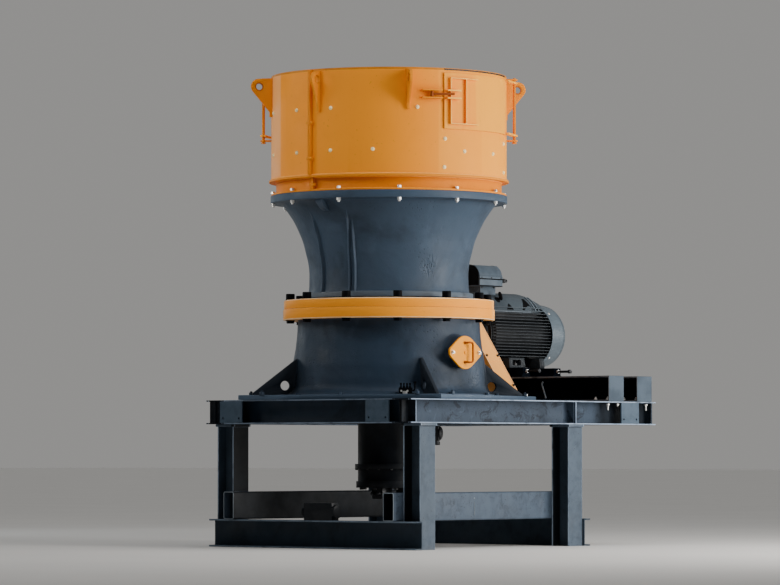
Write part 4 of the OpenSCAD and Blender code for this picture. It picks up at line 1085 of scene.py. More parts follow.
# dark rings inside the lifting lugs' eyes: painted shade in the holes
bm = bmesh.new()
for a in (-130.75, -40.75, 49.25, 139.25):
    n = radial(a)
    t = Vector((-n.y, n.x, 0))
    collar(bm, Vector((AX, 0, 3.675)) + n * 1.051 - t * 0.0132, t, [(0.0255, 0), (0.0336, 0), (0.0336, 0.0264), (0.0255, 0.0264)], 40)
lb = from_bmesh("lug_eye_shade_rings", bm, 40)
place(lb, M["handle"], "main")

# rolled steel rope welded round the hopper's rim, and the seams of its ring and skirt, in a lighter orange as painted
# highlight
bm = bmesh.new()
for z, r, rad in ((2.930, 0.9475, 0.0078), (2.910, 0.9062, 0.0042), (2.8185, 0.9062, 0.0042)):
    pts = arc(r, z, 0, 360, 1.0)[:-1]
    rings = []
    for i, p in enumerate(pts):
        n = (p - Vector((AX, 0, p.z))).normalized()
        rr = rad * (1 + 0.14 * math.sin(i * 2.3) + 0.12 * mnoise.noise(p * 60))
        rings.append([bm.verts.new(p + n * (rr * math.cos(j * math.pi / 3)) + UP * (rr * math.sin(j * math.pi / 3))) for j in range(6)])
    for i in range(len(rings)):
        a_, b_ = rings[i], rings[(i + 1) % len(rings)]
        for j in range(6):
            bm.faces.new((a_[j], a_[(j + 1) % 6], b_[(j + 1) % 6], b_[j]))
bmesh.ops.recalc_face_normals(bm, faces=list(bm.faces))
hw = from_bmesh("hopper_welds", bm, 60)
place(hw, M["orange_bead"], "main")

# weld beads where the lugs stand on the wall
bm = bmesh.new()
seed = 1
for a, t2 in [(x, 0.0125) for x in (-130.75, -40.75, 49.25, 139.25)] + [(x, 0.0105) for x in (-175, 5)]:
    n = radial(a)
    t = Vector((-n.y, n.x, 0))
    h = 0.322 if t2 > 0.012 else 0.332
    for s in (1, -1):
        base = Vector((AX, 0, 0)) + n * 0.9456 + t * (t2 * s)
        sweep(bm, line(base + UP * (3.763 - h), base + UP * 3.742, 0.006), 0.0040, 6, 0.22, seed)
        seed += 1
# and down both sides of the upright joint flanges
for a in (180.0, 0.0):
    n = radial(a)
    t = Vector((-n.y, n.x, 0))
    for s in (1, -1):
        base = Vector((AX, 0, 0)) + n * 0.9456 + t * (0.0115 * s)
        sweep(bm, line(base + UP * 2.934, base + UP * 3.752, 0.007), 0.0030, 6, 0.22, seed)
        seed += 1
lw = from_bmesh("lug_welds", bm, 60)
place(lw, M["orange_rib"], "main")


# ------------------------------------------------------------------ frame fasteners
bm = bmesh.new()       # bolts near the base plate's four tips, round the bottom shell's foot
for k in range(4):
    for off in (-7.5, 7.5):
        p = polar(-121.0 + 90 * k + off, 1.118, 1.205)
        washer(bm, p, UP, 0.022, 0.004)
        hexagon(bm, p + UP * 0.004, UP, 0.034, 0.019, spin=rnd.uniform(0, 1))
        threaded(bm, p + UP * 0.021, UP, 0.0105, 0.012)
for k in range(12):    # and through the shell's foot
    a = -121.0 + 30 * k + 15
    p = polar(a, 0.868, 1.205)
    washer(bm, p, UP, 0.018, 0.003)
    hexagon(bm, p + UP * 0.003, UP, 0.028, 0.016, spin=rnd.uniform(0, 1))
bb = from_bmesh("base_plate_bolts", bm)
place(bb, M["cast_low"], "main")

bm = bmesh.new()
box_bevel(bm, (-0.024, -0.018, 0.0), (0.024, 0.018, 0.024), 0.003, 2, Matrix.Rotation(math.radians(-132), 3, "Z"), polar(-132.0, 0.915, 1.205))
p = polar(-31.0 - 3.0, 1.150, 1.205)
hexagon(bm, p, UP, 0.030, 0.020, spin=0.4)
zb = from_bmesh("base_plate_zinc_bolts", bm)
place(zb, M["zinc"], "main")


def bolt_row(bm, pts, n, d, wr, both=None):
    for p in pts:
        n = Vector(n)
        washer(bm, p, n, wr, 0.0035)
        hexagon(bm, p + n * 0.0035, n, 1.55 * d, 0.62 * d, spin=rnd.uniform(0, 1))
        threaded(bm, p + n * (0.0035 + 0.6 * d), n, d * 0.5, 0.010)
        if both:
            q = p - n * both
            washer(bm, q, -n, wr, 0.0035)
            hexagon(bm, q - n * 0.0035, -n, 1.55 * d, 0.62 * d, spin=rnd.uniform(0, 1))


# motor beams are bolted down through their bottom flanges onto the main beams
bm = bmesh.new()
for x in (1.460, 1.843):
    for t in (-1, 1):
        for sx in (-0.066, 0.066):
            for sy in (-0.062, 0.062):
                y = t * 0.972 + sy
                p = Vector((x + sx, y, 1.167 + 0.015))
                bolt_row(bm, [p], (0, 0, 1), 0.016, 0.016)
                q = Vector((x + sx, y, 1.167 - 0.017))
                washer(bm, q, -UP, 0.016, 0.003)
                hexagon(bm, q - UP * 0.003, -UP, 0.025, 0.011, spin=rnd.uniform(0, 1))
                long = abs(x + sx - 1.6515) > 0.2 and t * sy > 0
                threaded(bm, q - UP * 0.014, -UP, 0.0078, 0.040 if long else 0.012)
mbb = from_bmesh("motor_beam_bolts", bm)
place(mbb, M["zinc"], "main")

# pinion housing flange screws
bm = bmesh.new()
for k in range(8):
    t = math.radians(22.5 + 45 * k)
    p = Vector((0.721, 0.168 * math.cos(t), 1.425 + 0.168 * math.sin(t)))
    hexagon(bm, p, Vector((1, 0, 0)), 0.026, 0.013, spin=0.3 * k)
pf = from_bmesh("pinion_flange_bolts", bm)
place(pf, M["black"], "main")


# ------------------------------------------------------------------ hatch, belt guard, motor and door details
def torus(bm, at, n, big, small, segs=40, sides=12):
    m = basis(Vector(n))
    rings = []
    for i in range(segs):
        t = 2 * math.pi * i / segs
        c = Vector((math.cos(t), math.sin(t), 0))
        rings.append([bm.verts.new(at + m @ (c * (big + small * math.cos(2 * math.pi * j / sides)) + Vector((0, 0, small * math.sin(2 * math.pi * j / sides))))) for j in range(sides)])
    for i in range(segs):
        a, b = rings[i], rings[(i + 1) % segs]
        for j in range(sides):
            bm.faces.new((a[j], b[j], b[(j + 1) % sides], a[(j + 1) % sides]))


HN = radial(-94.3)
HT = Vector((-HN.y, HN.x, 0))
HC = Vector((AX, 0, 1.538)) + HN * 0.848
bm = bmesh.new()
for s in (-1, 1):
    p = HC + HT * (0.150 * s) - HN * 0.0008
    washer(bm, p, HN, 0.0150, 0.003)
    hexagon(bm, p + HN * 0.003, HN, 0.0235, 0.013, spin=0.3 + s)
    threaded(bm, p + HN * 0.0155, HN, 0.0075, 0.010)
he = from_bmesh("hatch_ear_bolts", bm)
place(he, M["zinc"], "main")
# the cover itself: a thick plate with two ears, its rim turned over, and the bent bar handle
def ear_outline(r0, re, de, steps=12):
    """Round plate r0 with two rounded ears re at distance de, joined by tangents."""
    pts = []
    beta = math.acos((r0 - re) / de)
    for side in (1, -1):
        c0 = 0.0 if side > 0 else math.pi
        for i in range(steps + 1):
            t = c0 - beta + 2 * beta * i / steps
            pts.append((side * de + re * math.cos(t), re * math.sin(t)))
        n = 26
        a0, a1 = c0 + beta, c0 + math.pi - beta
        for i in range(1, n):
            t = a0 + (a1 - a0) * i / n
            pts.append((r0 * math.cos(t), r0 * math.sin(t)))
    return pts


bm = bmesh.new()
HB = Vector((AX, 0, 1.538))
rows = []
for r0, h in ((0.1270, 0.8280), (0.1302, 0.8300), (0.1310, 0.8335), (0.1310, 0.8425), (0.1298, 0.8458), (0.1270, 0.8475)):
    k = r0 - 0.131
    rows.append([HB + HN * h + HT * x + UP * z for x, z in ear_outline(r0, 0.050 + k, 0.130)])
ring_loft(bm, rows)
bmesh.ops.recalc_face_normals(bm, faces=list(bm.faces))
turned(bm, HB + HN * 0.8472, HN, [(0.0150, 0), (0.0150, 0.003), (0.0135, 0.0065), (0.0095, 0.0085), (0.0040, 0.0092)], 24)
hc = from_bmesh("hatch_cover_plate", bm, 28)
place(hc, M["hatch"], "main")
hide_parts("hatch_cover")
bm = bmesh.new()
hp0 = [(0.846, -0.008, 0.076), (0.866, -0.008, 0.076), (0.878, -0.004, 0.077), (0.884, 0.006, 0.078), (0.885, 0.020, 0.078), (0.885, 0.034, 0.076), (0.885, 0.043, 0.070), (0.885, 0.0460, 0.058)]
hp1 = [(r, t, -z) for r, t, z in reversed(hp0)]
mid = [(0.885, 0.046, z) for z in (0.04, 0.02, 0.0, -0.02, -0.04)]
path = [HB + HN * r + HT * t + UP * z for r, t, z in hp0 + mid + hp1]
sweep(bm, path, 0.0080, 14)
for s in (1, -1):
    torus(bm, HB + HN * 0.8480 - HT * 0.008 + UP * (0.076 * s), HN, 0.0098, 0.0026, 24, 8)
hh = from_bmesh("hatch_handle", bm, 60)
place(hh, M["handle"], "main")

# belt guard: rolled edges down the sloping face, the seam's cover strip and bolts
GD = Vector((0, 0.5578, 0.8300))
GN = Vector((0, -0.8300, 0.5578))


def guard_at(x, z, lift=0.0):
    return Vector((x, -0.0102 - (1.773 - z) * 0.6722, z)) + GN * lift


# the rolled edges take a lighter orange as painted highlight
bm = bmesh.new()
for x in (0.8825, 1.0575):
    sweep(bm, [guard_at(x, z, 0.0006) for z in [1.228 + i * 0.02 for i in range(32)]], 0.0044, 10)
ge = from_bmesh("guard_rolled_edges", bm)
place(ge, M["guard_edge"], "main")
bm = bmesh.new()
box_bevel(bm, (0.884, -0.0135, -0.0006), (1.056, 0.0135, 0.0022), 0.0008, 2, Matrix((Vector((1, 0, 0)), GD, GN)).transposed() @ Matrix.Rotation(0, 3, "Z"), guard_at(0, 1.5085))
gs = from_bmesh("guard_seam_strip", bm)
place(gs, M["guard"], "main")
bm = bmesh.new()
for x, z in ((0.900, 1.545), (1.042, 1.545), (0.900, 1.300), (1.042, 1.300)):
    p = guard_at(x, z, 0.0)
    washer(bm, p, GN, 0.0105, 0.002)
    hexagon(bm, p + GN * 0.002, GN, 0.0170, 0.0095, spin=x * 9)
for y in (-0.115, 0.14, 0.24, 0.34, 0.40):
    for s, z in ((1, 1.516), (-1, 1.500)):
        p = Vector((0.876, y, z))
        hexagon(bm, p, Vector((0, 0, s)), 0.0100, 0.005, spin=y * 9)
gb = from_bmesh("guard_bolts", bm)
place(gb, M["black"], "main")

# motor: hood ribs, and near-black patches as painted shade, laid on the round of the hood
MY, MZ = 0.270, 1.736
HOODZ, HOODR = MZ + 0.164, 0.186


def hood_r_at(x):
    line_pts = [(1.0, 0.186), (1.807, 0.186), (1.887, 0.174), (1.977, 0.150), (2.057, 0.126), (2.110, 0.106)]
    for (x0, r0), (x1, r1) in zip(line_pts, line_pts[1:]):
        if x <= x1:
            return r0 + (r1 - r0) * (x - x0) / (x1 - x0)
    return line_pts[-1][1]


def hood_patch(bm, xl0, xr0, xl1, xr1, z0, z1, lift, side=-1, rows=9):
    rings = []
    for i in range(rows + 1):
        t = i / rows
        z = z0 + (z1 - z0) * t
        xl, xr = xl0 + (xl1 - xl0) * t, xr0 + (xr1 - xr0) * t
        ring = []
        for x, up_ in ((xl, -0.002), (xr, -0.002), (xr, lift), (xl, lift)):
            r = hood_r_at(x)
            th = math.asin(max(-1.0, min(1.0, (z - HOODZ) / r)))
            r += up_
            ring.append(Vector((x, MY + side * r * math.cos(th), HOODZ + r * math.sin(th))))
        if side > 0:
            ring.reverse()
        rings.append(ring)
    ring_loft(bm, rings)


bm = bmesh.new()
for side in (-1, 1):
    hood_patch(bm, 1.478, 1.588, 1.524, 1.540, 1.934, 1.994, 0.0012, side)
    hood_patch(bm, 1.690, 1.846, 1.752, 1.778, 1.936, 2.040, 0.0012, side)
    hood_patch(bm, 1.897, 1.931, 1.828, 1.850, 1.934, 2.046, 0.0012, side)
    hood_patch(bm, 1.959, 1.994, 1.880, 1.902, 1.934, 2.050, 0.0012, side)
bmesh.ops.recalc_face_normals(bm, faces=list(bm.faces))
hp = from_bmesh("motor_hood_shade_patches", bm, 30)
place(hp, M["void"], "main")
bm = bmesh.new()
for side in (-1, 1):
    hood_patch(bm, 1.872, 1.892, 1.806, 1.820, 1.934, 2.050, 0.011, side)
    hood_patch(bm, 1.936, 1.955, 1.858, 1.872, 1.934, 2.052, 0.011, side)
    hood_patch(bm, 1.255, 1.800, 1.255, 1.800, 1.9255, 1.9335, 0.0045, side)
bmesh.ops.recalc_face_normals(bm, faces=list(bm.faces))
hr = from_bmesh("motor_hood_ribs", bm, 30)
place(hr, M["hood"], "main")

# lifting eyes on the hood, one on each flank
bm = bmesh.new()
for side, x in ((-1, 1.410), (1, 1.410)):
    th = math.radians(42)
    n = Vector((0, side * math.cos(th), math.sin(th)))
    p = Vector((x, MY, HOODZ)) + n * HOODR
    turned(bm, p - n * 0.002, n, [(0.028, 0), (0.028, 0.006), (0.024, 0.010), (0.015, 0.013), (0.013, 0.020)], 28)
    torus(bm, p + n * 0.045, Vector((1, 0.75 * side, 0.35)), 0.0285, 0.0090, 36, 12)
ey = from_bmesh("motor_lifting_eyes", bm)
place(ey, M["void"], "main")

# terminal box: lid joint, end covers, lid screws and cable glands with blind plugs
bm = bmesh.new()
zl = MZ + 0.4705
for lo, hi in (((1.1995, MY - 0.1228, zl - 0.0065), (1.5045, MY - 0.1160, zl + 0.0065)), ((1.1995, MY + 0.1160, zl - 0.0065), (1.5045, MY + 0.1228, zl + 0.0065)),
               ((1.1992, MY - 0.118, zl - 0.0065), (1.2050, MY + 0.118, zl + 0.0065)), ((1.4990, MY - 0.118, zl - 0.0065), (1.5048, MY + 0.118, zl + 0.0065))):
    box_bevel(bm, lo, hi, 0.0015, 2)
lidr = from_bmesh("terminal_box_lid_joint", bm, 30)
place(lidr, M["terminal"], "main")
bm = bmesh.new()
for x0, s in ((1.2000, -1), (1.5035, 1)):       # arched near-black plates on the two ends, as painted shade of the box's ends
    pts = [(-0.108, -0.072), (0.108, -0.072)]
    for i in range(19):
        t = math.pi * i / 18
        pts.append((0.108 * math.cos(t), 0.004 + 0.098 * math.sin(t) ** 0.8))
    prism(bm, pts, Vector((x0, MY, MZ + 0.478)), Vector((0, 1, 0)), Vector((0, 0, 1)), 0.006, 0.0015)
for s in (-1, 1):                               # gasket under the lid's lip, and a near-black strip as painted shadow at the pedestal
    y = MY + s * 0.1195
    box_bevel(bm, (1.2010, y - 0.0020, zl - 0.0165), (1.5030, y + 0.0020, zl - 0.0070), 0.0006, 1)
    box_bevel(bm, (1.2030, y - 0.0020, MZ + 0.3985), (1.5010, y + 0.0020, MZ + 0.4065), 0.0006, 1)
tcv = from_bmesh("terminal_box_dark_plates", bm, 30)
place(tcv, M["void"], "main")
bm = bmesh.new()
for y, z in ((MY - 0.082, MZ + 0.452), (MY - 0.030, MZ + 0.452)):
    p = Vector((1.5055, y, z))
    n = Vector((1, 0, 0))
    hexagon(bm, p, n, 0.036, 0.014, spin=y)
    turned(bm, p + n * 0.014, n, [(0.0150, 0), (0.0150, 0.022), (0.0185, 0.024), (0.0185, 0.050), (0.0165, 0.056), (0.0135, 0.058), (0.0135, 0.078), (0.0110, 0.082), (0.004, 0.083)], 24)
for x in (1.225, 1.352, 1.479):
    for s in (-1, 1):
        p = Vector((x, MY + s * 0.1228, zl))
        hexagon(bm, p, Vector((0, s, 0)), 0.0100, 0.0045, spin=x * 5)
for s in (-1, 1):
    for x in (1.275, 1.429):
        p = Vector((x, MY + s * 0.084, MZ + 0.390))
        hexagon(bm, p, Vector((0, s, 0)), 0.0140, 0.007, spin=x * 5)
gl = from_bmesh("terminal_box_glands", bm)
place(gl, M["black"], "main")

# air grille on the back of the fan cowl: rings and spokes over a dark back plate
bm = bmesh.new()
GX = 2.2160
for r in (0.040, 0.060, 0.080, 0.100, 0.120, 0.140):
    torus(bm, Vector((GX - 0.0022, MY, MZ)), Vector((1, 0, 0)), r, 0.0021, 64, 8)
for k in range(8):
    t = math.radians(45 * k)
    d = Vector((0, math.cos(t), math.sin(t)))
    sweep(bm, line(Vector((GX - 0.0034, MY, MZ)) + d * 0.020, Vector((GX - 0.0034, MY, MZ)) + d * 0.148, 0.02), 0.0030, 8)
turned(bm, Vector((GX - 0.004, MY, MZ)), Vector((1, 0, 0)), [(0.026, 0), (0.026, 0.0022), (0.020, 0.0036)], 32)
gr = from_bmesh("fan_cowl_grille", bm, 40)
place(gr, M["cowl"], "main")
bm = bmesh.new()
turned(bm, Vector((GX - 0.0060, MY, MZ)), Vector((1, 0, 0)), [(0.148, 0), (0.150, 0.003), (0.150, 0.0062), (0.147, 0.0063)], 64)
gp = from_bmesh("fan_cowl_intake", bm, 40)
place(gp, M["black"], "main")
bm = bmesh.new()
for k in range(4):     # screws that hold the cowl
    t = math.radians(45 + 90 * k)
    n = Vector((0, math.cos(t), math.sin(t)))
    p = Vector((2.045, MY, MZ)) + n * 0.265
    turned(bm, p - n * 0.0006, n, [(0.011, 0), (0.011, 0.002), (0.0095, 0.0035), (0.004, 0.0042)], 20)
cs = from_bmesh("fan_cowl_screws", bm)
place(cs, M["zinc"], "main")

# motor foot bolts and end-shield screws
bm = bmesh.new()
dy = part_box("motor_feet")[1][1] - MY - 0.054
FD = dy
for x0, w in ((1.392, 0.208), (1.800, 0.062)):
    for s in (-1, 1):
        p = Vector((x0 + w / 2, MY + s * (FD + 0.028), 1.377 + 0.079 + (0.0202 if w > 0.15 else 0.0262)))
        washer(bm, p, UP, 0.017, 0.003)
        hexagon(bm, p + UP * 0.003, UP, 0.0300, 0.0150, spin=x0)
        threaded(bm, p + UP * 0.018, UP, 0.0095, 0.012)
mf = from_bmesh("motor_foot_bolts", bm)
place(mf, M["black"], "main")
bm = bmesh.new()
for k in range(8):
    t = math.radians(22.5 + 45 * k)
    n = Vector((-1, 0, 0))
    p = Vector((1.117 + 0.1075, MY + 0.208 * math.cos(t), MZ + 0.208 * math.sin(t)))
    cap_screw(bm, p, n, 0.0095, 0.010)
es = from_bmesh("end_shield_screws", bm)
place(es, M["black"], "main")
bm = bmesh.new()
for x in (1.442, 1.861):   # lock nuts on the adjusting screws
    p = Vector((x, 0.270 - 0.4205, 1.377 + 0.050))
    hexagon(bm, p + Vector((0, -0.0005, 0)), Vector((0, -1, 0)), 0.030, 0.012, spin=0.2)
an = from_bmesh("adjusting_nuts", bm)
place(an, M["zinc"], "main")

# dark strip over each loading door, under the hopper's rim: a painted shadow line
bm = bmesh.new()
for a0 in (-112.3, 67.7):
    rings = []
    for i in range(61):
        a = a0 + 50.6 * i / 60
        rings.append([polar(a, r, z) for r, z in ((0.9440, 3.7470), (0.9482, 3.7470), (0.9482, 3.7575), (0.9440, 3.7575))])
    ring_loft(bm, rings)
bmesh.ops.recalc_face_normals(bm, faces=list(bm.faces))
ss = from_bmesh("rim_shadow_strips", bm)
place(ss, M["brown"], "main")


# ------------------------------------------------------------------ frame rims, welds and small fittings
def closed_sweep(bm, pts, radius, sides=8, wob=0.0, seed=0, axis=Vector((1, 0, 0))):
    """A round bead along a closed loop of points that lies square to axis."""
    rings = []
    n = len(pts)
    for i, p in enumerate(pts):
        t = (pts[(i + 1) % n] - pts[i - 1]).normalized()
        side = t.cross(axis).normalized()
        r = radius * (1 + wob * math.sin(i * 2.1 + seed))
        rings.append([bm.verts.new(p + side * (r * math.cos(2 * math.pi * j / sides)) + axis * (r * math.sin(2 * math.pi * j / sides))) for j in range(sides)])
    for i in range(n):
        a, b = rings[i], rings[(i + 1) % n]
        for j in range(sides):
            bm.faces.new((a[j], a[(j + 1) % sides], b[(j + 1) % sides], b[j]))


def round_rect(x, cy, cz, w, h, r, steps=6):
    pts = []
    for sy, sz, a0 in ((1, 1, 0), (-1, 1, 90), (-1, -1, 180), (1, -1, 270)):
        for i in range(steps + 1):
            t = math.radians(a0 + 90 * i / steps)
            pts.append(Vector((x, cy + sy * (w / 2 - r) + r * math.cos(t), cz + sz * (h / 2 - r) + r * math.sin(t))))
    return pts


bm = bmesh.new()       # sawn ends of the square tubes, in lighter paint as painted highlight
for s in (-1, 1):
    for t in (-1, 1):
        closed_sweep(bm, round_rect(s * 1.1330, t * 0.833, 0.330, 0.100, 0.213, 0.0125), 0.0036, 8, axis=Vector((1, 0, 0)))
bmesh.ops.recalc_face_normals(bm, faces=list(bm.faces))
te = from_bmesh("tube_end_rims", bm, 60)
place(te, M["frame_light"], "main")

bm = bmesh.new()       # welds: legs to their head plates and to the foot channels, tubes to legs, beams to beams
seed = 300
for sx in (-1, 1):
    for sy in (-1, 1):
        cx, cy = 0.929 * sx, 0.972 * sy
        for fy in (-1, 1):
            y = cy + fy * 0.0860
            sweep(bm, line((cx - 0.086, y, 0.9565), (cx + 0.086, y, 0.9565), 0.008), 0.0048, 6, 0.22, seed)
            seed += 1
        # channel to leg flange
        for fy in (-1, 1):
            sweep(bm, line((sx * 1.0195, cy + fy * 0.0855, 0.012), (sx * 1.0195, cy + fy * 0.0855, 0.205), 0.008), 0.0042, 6, 0.22, seed)
            seed += 1
        # tube to leg, top and bottom runs
        for z in (0.2195, 0.4405):
            yy = sy * (0.833 + 0.0535)
            sweep(bm, line((cx - 0.080, yy, z), (cx + 0.080, yy, z), 0.008), 0.0042, 6, 0.22, seed)
            seed += 1
for x in (-1.042, 0.756, 1.646):     # cross beam webs to the main beams' webs
    for sy in (-1, 1):
        for dx in (-0.0045, 0.0045):
            y = sy * 0.8725
            sweep(bm, line((x + dx, y, 0.990), (x + dx, y, 1.154), 0.008), 0.0038, 6, 0.22, seed)
            seed += 1
fw = from_bmesh("frame_welds", bm, 60)
place(fw, M["weld"], "main")

bm = bmesh.new()       # welds of the upright ribs, to the base plate and up the shell
for k in range(4):
    a = -120.5 + 90 * k
    n = radial(a)
    t = Vector((-n.y, n.x, 0))
    for s in (-1, 1):
        off = t * (0.0145 * s)
        base = Vector((AX, 0, 0)) + off
        sweep(bm, [base + n * r + UP * 1.2062 for r in [0.856 + 0.008 * i for i in range(36)]], 0.0055, 6, 0.22, seed)
        seed += 1
        path = [(0.7985, 1.262), (0.7965, 1.29), (0.791, 1.33), (0.7855, 1.37), (0.780, 1.41), (0.7755, 1.445), (0.7725, 1.47), (0.7745, 1.495)]
        cm = catmull(path, 0.008)
        sweep(bm, [base + n * r + UP * z for r, z in cm], 0.0055, 6, 0.22, seed)
        seed += 1
rw = from_bmesh("rib_welds", bm, 60)
place(rw, M["cast_low"], "main")

bm = bmesh.new()       # a seam run on the front tube, and a small eye bar hung on the first motor beam, both in lighter paint as painted highlight
sweep(bm, line((-0.151, -0.8868, 0.258), (-0.151, -0.8868, 0.360), 0.006), 0.0038, 6, 0.25, 5)
turned(bm, Vector((-0.151, -0.8864, 0.391)), Vector((0, -1, 0)), [(0.007, 0), (0.0065, 0.0025), (0.004, 0.004)], 16)
vw = from_bmesh("tube_seam_weld", bm, 60)
place(vw, M["frame_light"], "main")
bm = bmesh.new()
sweep(bm, [(1.3535, -0.395, 1.332), (1.3535, -0.388, 1.325), (1.3535, -0.384, 1.312), (1.3535, -0.398, 1.275), (1.3535, -0.412, 1.235), (1.3535, -0.424, 1.198)], 0.0065, 10)
hb2 = from_bmesh("beam_eye_bar", bm, 60)
place(hb2, M["frame_light"], "main")

# grease block on the base plate beside the front rib, with its nipples
bm = bmesh.new()
gn = radial(-131.5)
gt = Vector((-gn.y, gn.x, 0))
at = Vector((AX, 0, 1.205)) + gn * 0.905
turn = Matrix((gt, -gn, UP)).transposed()
box_bevel(bm, (-0.052, -0.017, 0.0), (0.052, 0.017, 0.052), 0.003, 2, turn, at)
box_bevel(bm, (-0.064, -0.024, 0.0), (0.064, 0.024, 0.008), 0.002, 2, turn, at)
for i in range(4):
    p = at + gt * (-0.036 + 0.024 * i) + UP * 0.052
    hexagon(bm, p, UP, 0.017, 0.010, spin=0.3 * i)
    turned(bm, p + UP * 0.010, UP, [(0.0055, 0), (0.0055, 0.012), (0.0080, 0.013), (0.0080, 0.021), (0.0052, 0.026), (0.0030, 0.028)], 16)
sweep(bm, [at + gt * 0.052 + UP * 0.030, at + gt * 0.064 + UP * 0.030, at + gt * 0.072 + UP * 0.036, at + gt * 0.074 + UP * 0.048, at + gt * 0.074 + UP * 0.086], 0.0062, 10)
hexagon(bm, at + gt * 0.074 + UP * 0.084, UP, 0.022, 0.016, spin=0.2)
gbk = from_bmesh("grease_block", bm, 35)
place(gbk, M["screw"], "main")
bm = bmesh.new()
for i in (0, 2):
    q = at + gt * (-0.036 + 0.024 * i) + UP * 0.026 + gn * 0.017
    hexagon(bm, q, gn, 0.015, 0.008, spin=0.3)
gz = from_bmesh("grease_block_plugs", bm, 35)
place(gz, M["zinc"], "main")

# rounded oil connections under the base: replaces the plain blocks
bm = bmesh.new()
on = radial(-60)
ot = Vector((-on.y, on.x, 0))
oc = Vector((AX, 0, 0.905))
turned(bm, oc + on * 0.2455, on, [(0.074, 0), (0.076, 0.003), (0.076, 0.018), (0.072, 0.022), (0.052, 0.023), (0.050, 0.030), (0.050, 0.118)], 40)
for k in range(6):
    t = math.radians(60 * k)
    hexagon(bm, oc + on * 0.2675 + (ot * math.cos(t) + UP * math.sin(t)) * 0.063, on, 0.013, 0.007, spin=t)
# a block that turns the oil downward, with a domed plug on its far face and a union below
rot = Matrix((on, ot, UP)).transposed()
box_bevel(bm, (0.350, -0.040, -0.060), (0.413, 0.040, 0.058), 0.006, 3, turn=rot, at=oc)
turned(bm, oc + on * 0.4125, on, [(0.0515, 0), (0.0525, 0.0015), (0.0525, 0.0075), (0.0470, 0.0150), (0.0340, 0.0215), (0.0180, 0.0250), (0.0060, 0.0258)], 40)
turned(bm, oc + on * 0.3815 - UP * 0.0595, -UP, [(0.0300, 0), (0.0300, 0.010), (0.0345, 0.012), (0.0345, 0.030), (0.0310, 0.035), (0.0200, 0.036)], 32)
# valve block and sensor under the cylinder
box_bevel(bm, (AX - 0.150, -0.060, 0.380), (AX - 0.030, 0.050, 0.4705), 0.004, 2)
for dy in (-0.035, 0.025):
    hexagon(bm, Vector((AX - 0.150, dy, 0.425)), Vector((-1, 0, 0)), 0.026, 0.010, spin=0.2)
    turned(bm, Vector((AX - 0.160, dy, 0.425)), Vector((-1, 0, 0)), [(0.0105, 0), (0.0105, 0.012), (0.0130, 0.013), (0.0130, 0.024), (0.0080, 0.026)], 20)
box_bevel(bm, (AX - 0.030, -0.190, 0.330), (AX + 0.040, -0.100, 0.4705), 0.004, 2)
turned(bm, Vector((AX + 0.005, -0.145, 0.330)), -UP, [(0.027, 0), (0.027, 0.004), (0.022, 0.008), (0.022, 0.024), (0.018, 0.029), (0.008, 0.030)], 24)
for dx in (-0.020, 0.030):
    for dz in (0.350, 0.450):
        cap_screw(bm, Vector((AX + dx, -0.190, dz)), Vector((0, -1, 0)), 0.0060, 0.006)
cf = from_bmesh("oil_connections", bm, 35)
place(cf, M["dark"], "main")
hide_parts("cylinder_fittings")

# screws round the flanges of the step cylinder
bm = bmesh.new()
for k in range(16):
    t = math.radians(22.5 * k)
    d = Vector((math.cos(t), math.sin(t), 0))
    hexagon(bm, Vector((AX, 0, 1.060)) + d * 0.302, -UP, 0.030, 0.016, spin=t)
    hexagon(bm, Vector((AX, 0, 0.620)) + d * 0.2615, -UP, 0.0160, 0.009, spin=t)
for k in range(8):
    t = math.radians(45 * k + 10)
    d = Vector((math.cos(t), math.sin(t), 0))
    hexagon(bm, Vector((AX, 0, 0.470)) + d * 0.225, -UP, 0.030, 0.016, spin=t)
cyb = from_bmesh("cylinder_bolts", bm)
place(cyb, M["black"], "main")

# spider cap screws, seen from above
bm = bmesh.new()
for k in range(6):
    t = math.radians(60 * k + 15)
    d = Vector((math.cos(t), math.sin(t), 0))
    p = Vector((AX, 0, 2.8505)) + d * 0.199
    cap_screw(bm, p - UP * 0.002, UP, 0.0095, 0.010)
sc = from_bmesh("spider_cap_screws", bm)
place(sc, M["black"], "main")


# ------------------------------------------------------------------ stage and lights
def simple_material(name, color, rough):
    n = Nodes(name)
    c = n.mix(n.ramp(n.noise(0.6, 3, 0.5), 0.3, 0.7), color, tuple(c * 0.97 for c in color))
    return n.out(c, rough, Specular_IOR_Level=0.15)


WORLD_DARK, WORLD_PALE = 0.012, 0.30


def make_stage():
    bm = bmesh.new()
    vs = [bm.verts.new(p) for p in [(-150, -150, 0), (150, -150, 0), (150, 150, 0), (-150, 150, 0)]]
    bm.faces.new(vs)
    floor = from_bmesh("floor", bm)
    floor.data.materials.append(simple_material("floor_pale", (0.74, 0.735, 0.72), 0.9))
    # the room: a pale wall far behind, dark round the camera's side, so painted edges read
    w = bpy.data.worlds.new("studio")
    bpy.context.scene.world = w
    w.use_nodes = True
    t = w.node_tree
    bg = t.nodes["Background"]
    tc = t.nodes.new("ShaderNodeTexCoord")
    dot = t.nodes.new("ShaderNodeVectorMath")
    dot.operation = "DOT_PRODUCT"
    a = math.radians(AZ)
    dot.inputs[1].default_value = (math.cos(a), math.sin(a), 0.0)
    mr = t.nodes.new("ShaderNodeMapRange")
    mr.interpolation_type = "SMOOTHSTEP"
    for k, v in (("From Min", 0.45), ("From Max", 0.92), ("To Min", WORLD_DARK), ("To Max", WORLD_PALE)):
        mr.inputs[k].default_value = v
    t.links.new(tc.outputs["Generated"], dot.inputs[0])
    t.links.new(dot.outputs["Value"], mr.inputs["Value"])
    t.links.new(mr.outputs["Result"], bg.inputs["Strength"])
    bg.inputs["Color"].default_value = (1.0, 0.985, 0.96, 1)


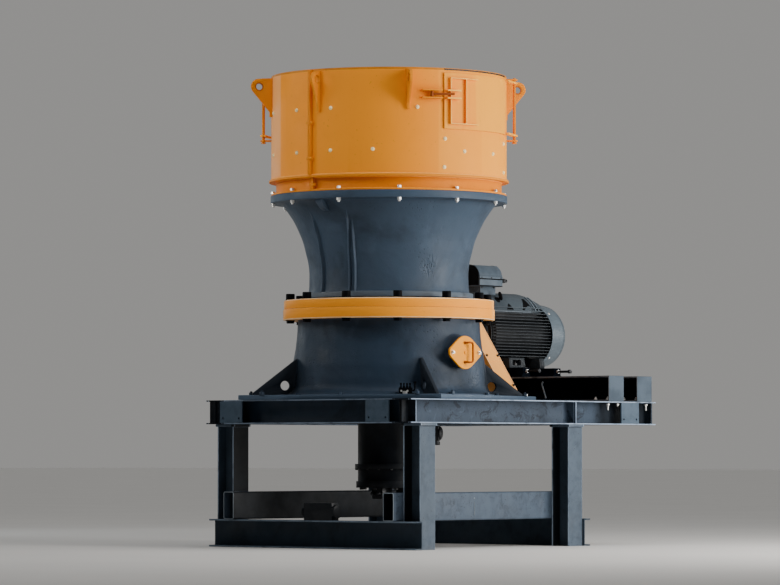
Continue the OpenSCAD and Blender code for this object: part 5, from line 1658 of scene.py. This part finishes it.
def area(name, at, target, size, power, color=(1, 1, 1), size_y=None, spread=None):
    d = bpy.data.lights.new(name, "AREA")
    d.energy = power
    d.color = color
    d.shape = "RECTANGLE"
    d.size = size
    d.size_y = size_y or size
    if spread:
        d.spread = math.radians(spread)
    ob = link(bpy.data.objects.new(name, d))
    ob.location = at
    ob.rotation_euler = (Vector(target) - Vector(at)).to_track_quat("-Z", "Y").to_euler()
    ob.visible_camera = False
    return ob


def make_lights():
    a = math.radians(AZ)
    away = Vector((math.cos(a), math.sin(a), 0))
    right = Vector((math.sin(a), -math.cos(a), 0))
    up = Vector((0, 0, 1))
    c = Vector((AX, 0, 0))
    # two key boxes square to the sides that face the camera's right, one low and one high
    area("key_low", c + Vector((3.5, -7.5, 1.8)), c + up * 1.7, 3.0, 520, (1.0, 0.97, 0.93))
    area("key_high", c + Vector((0.5, -7.0, 5.0)), c + up * 2.0, 3.2, 300, (1.0, 0.975, 0.94))
    # high boxes with grids over the left shoulder: open up the hopper and the rings, fall off down the frame
    area("front_left_high", c - away * 3.6 - right * 4.6 + up * 6.2, c + up * 3.3, 2.4, 17, (0.96, 0.98, 1.0), spread=62)
    area("front_high", c - away * 5.2 - right * 0.5 + up * 7.4, c + up * 3.0, 2.4, 55, (0.97, 0.985, 1.0))
    # edge light from behind on the left, grazing the round castings
    area("edge_left", c + Vector((0.9, 9.0, 3.4)), c + up * 2.4, 2.2, 40, (0.84, 0.93, 1.0))
    area("left_high", c - right * 7.0 + up * 4.4, c + up * 2.85, 2.0, 9, (1.0, 0.96, 0.88), spread=42)
    area("edge_right", c + right * 6.6 + away * 3.2 + up * 2.3, c + right * 0.6 + up * 1.9, 1.6, 5, (0.95, 0.98, 1.0), spread=42)
    s = bpy.data.lights.new("overhead", "SUN")
    s.energy = 1.05
    s.angle = math.radians(50)
    s.color = (1.0, 0.99, 0.97)
    ob = link(bpy.data.objects.new("overhead", s))
    ob.rotation_euler = (-(right * 0.12) - up).to_track_quat("-Z", "Y").to_euler()


make_stage()
make_lights()
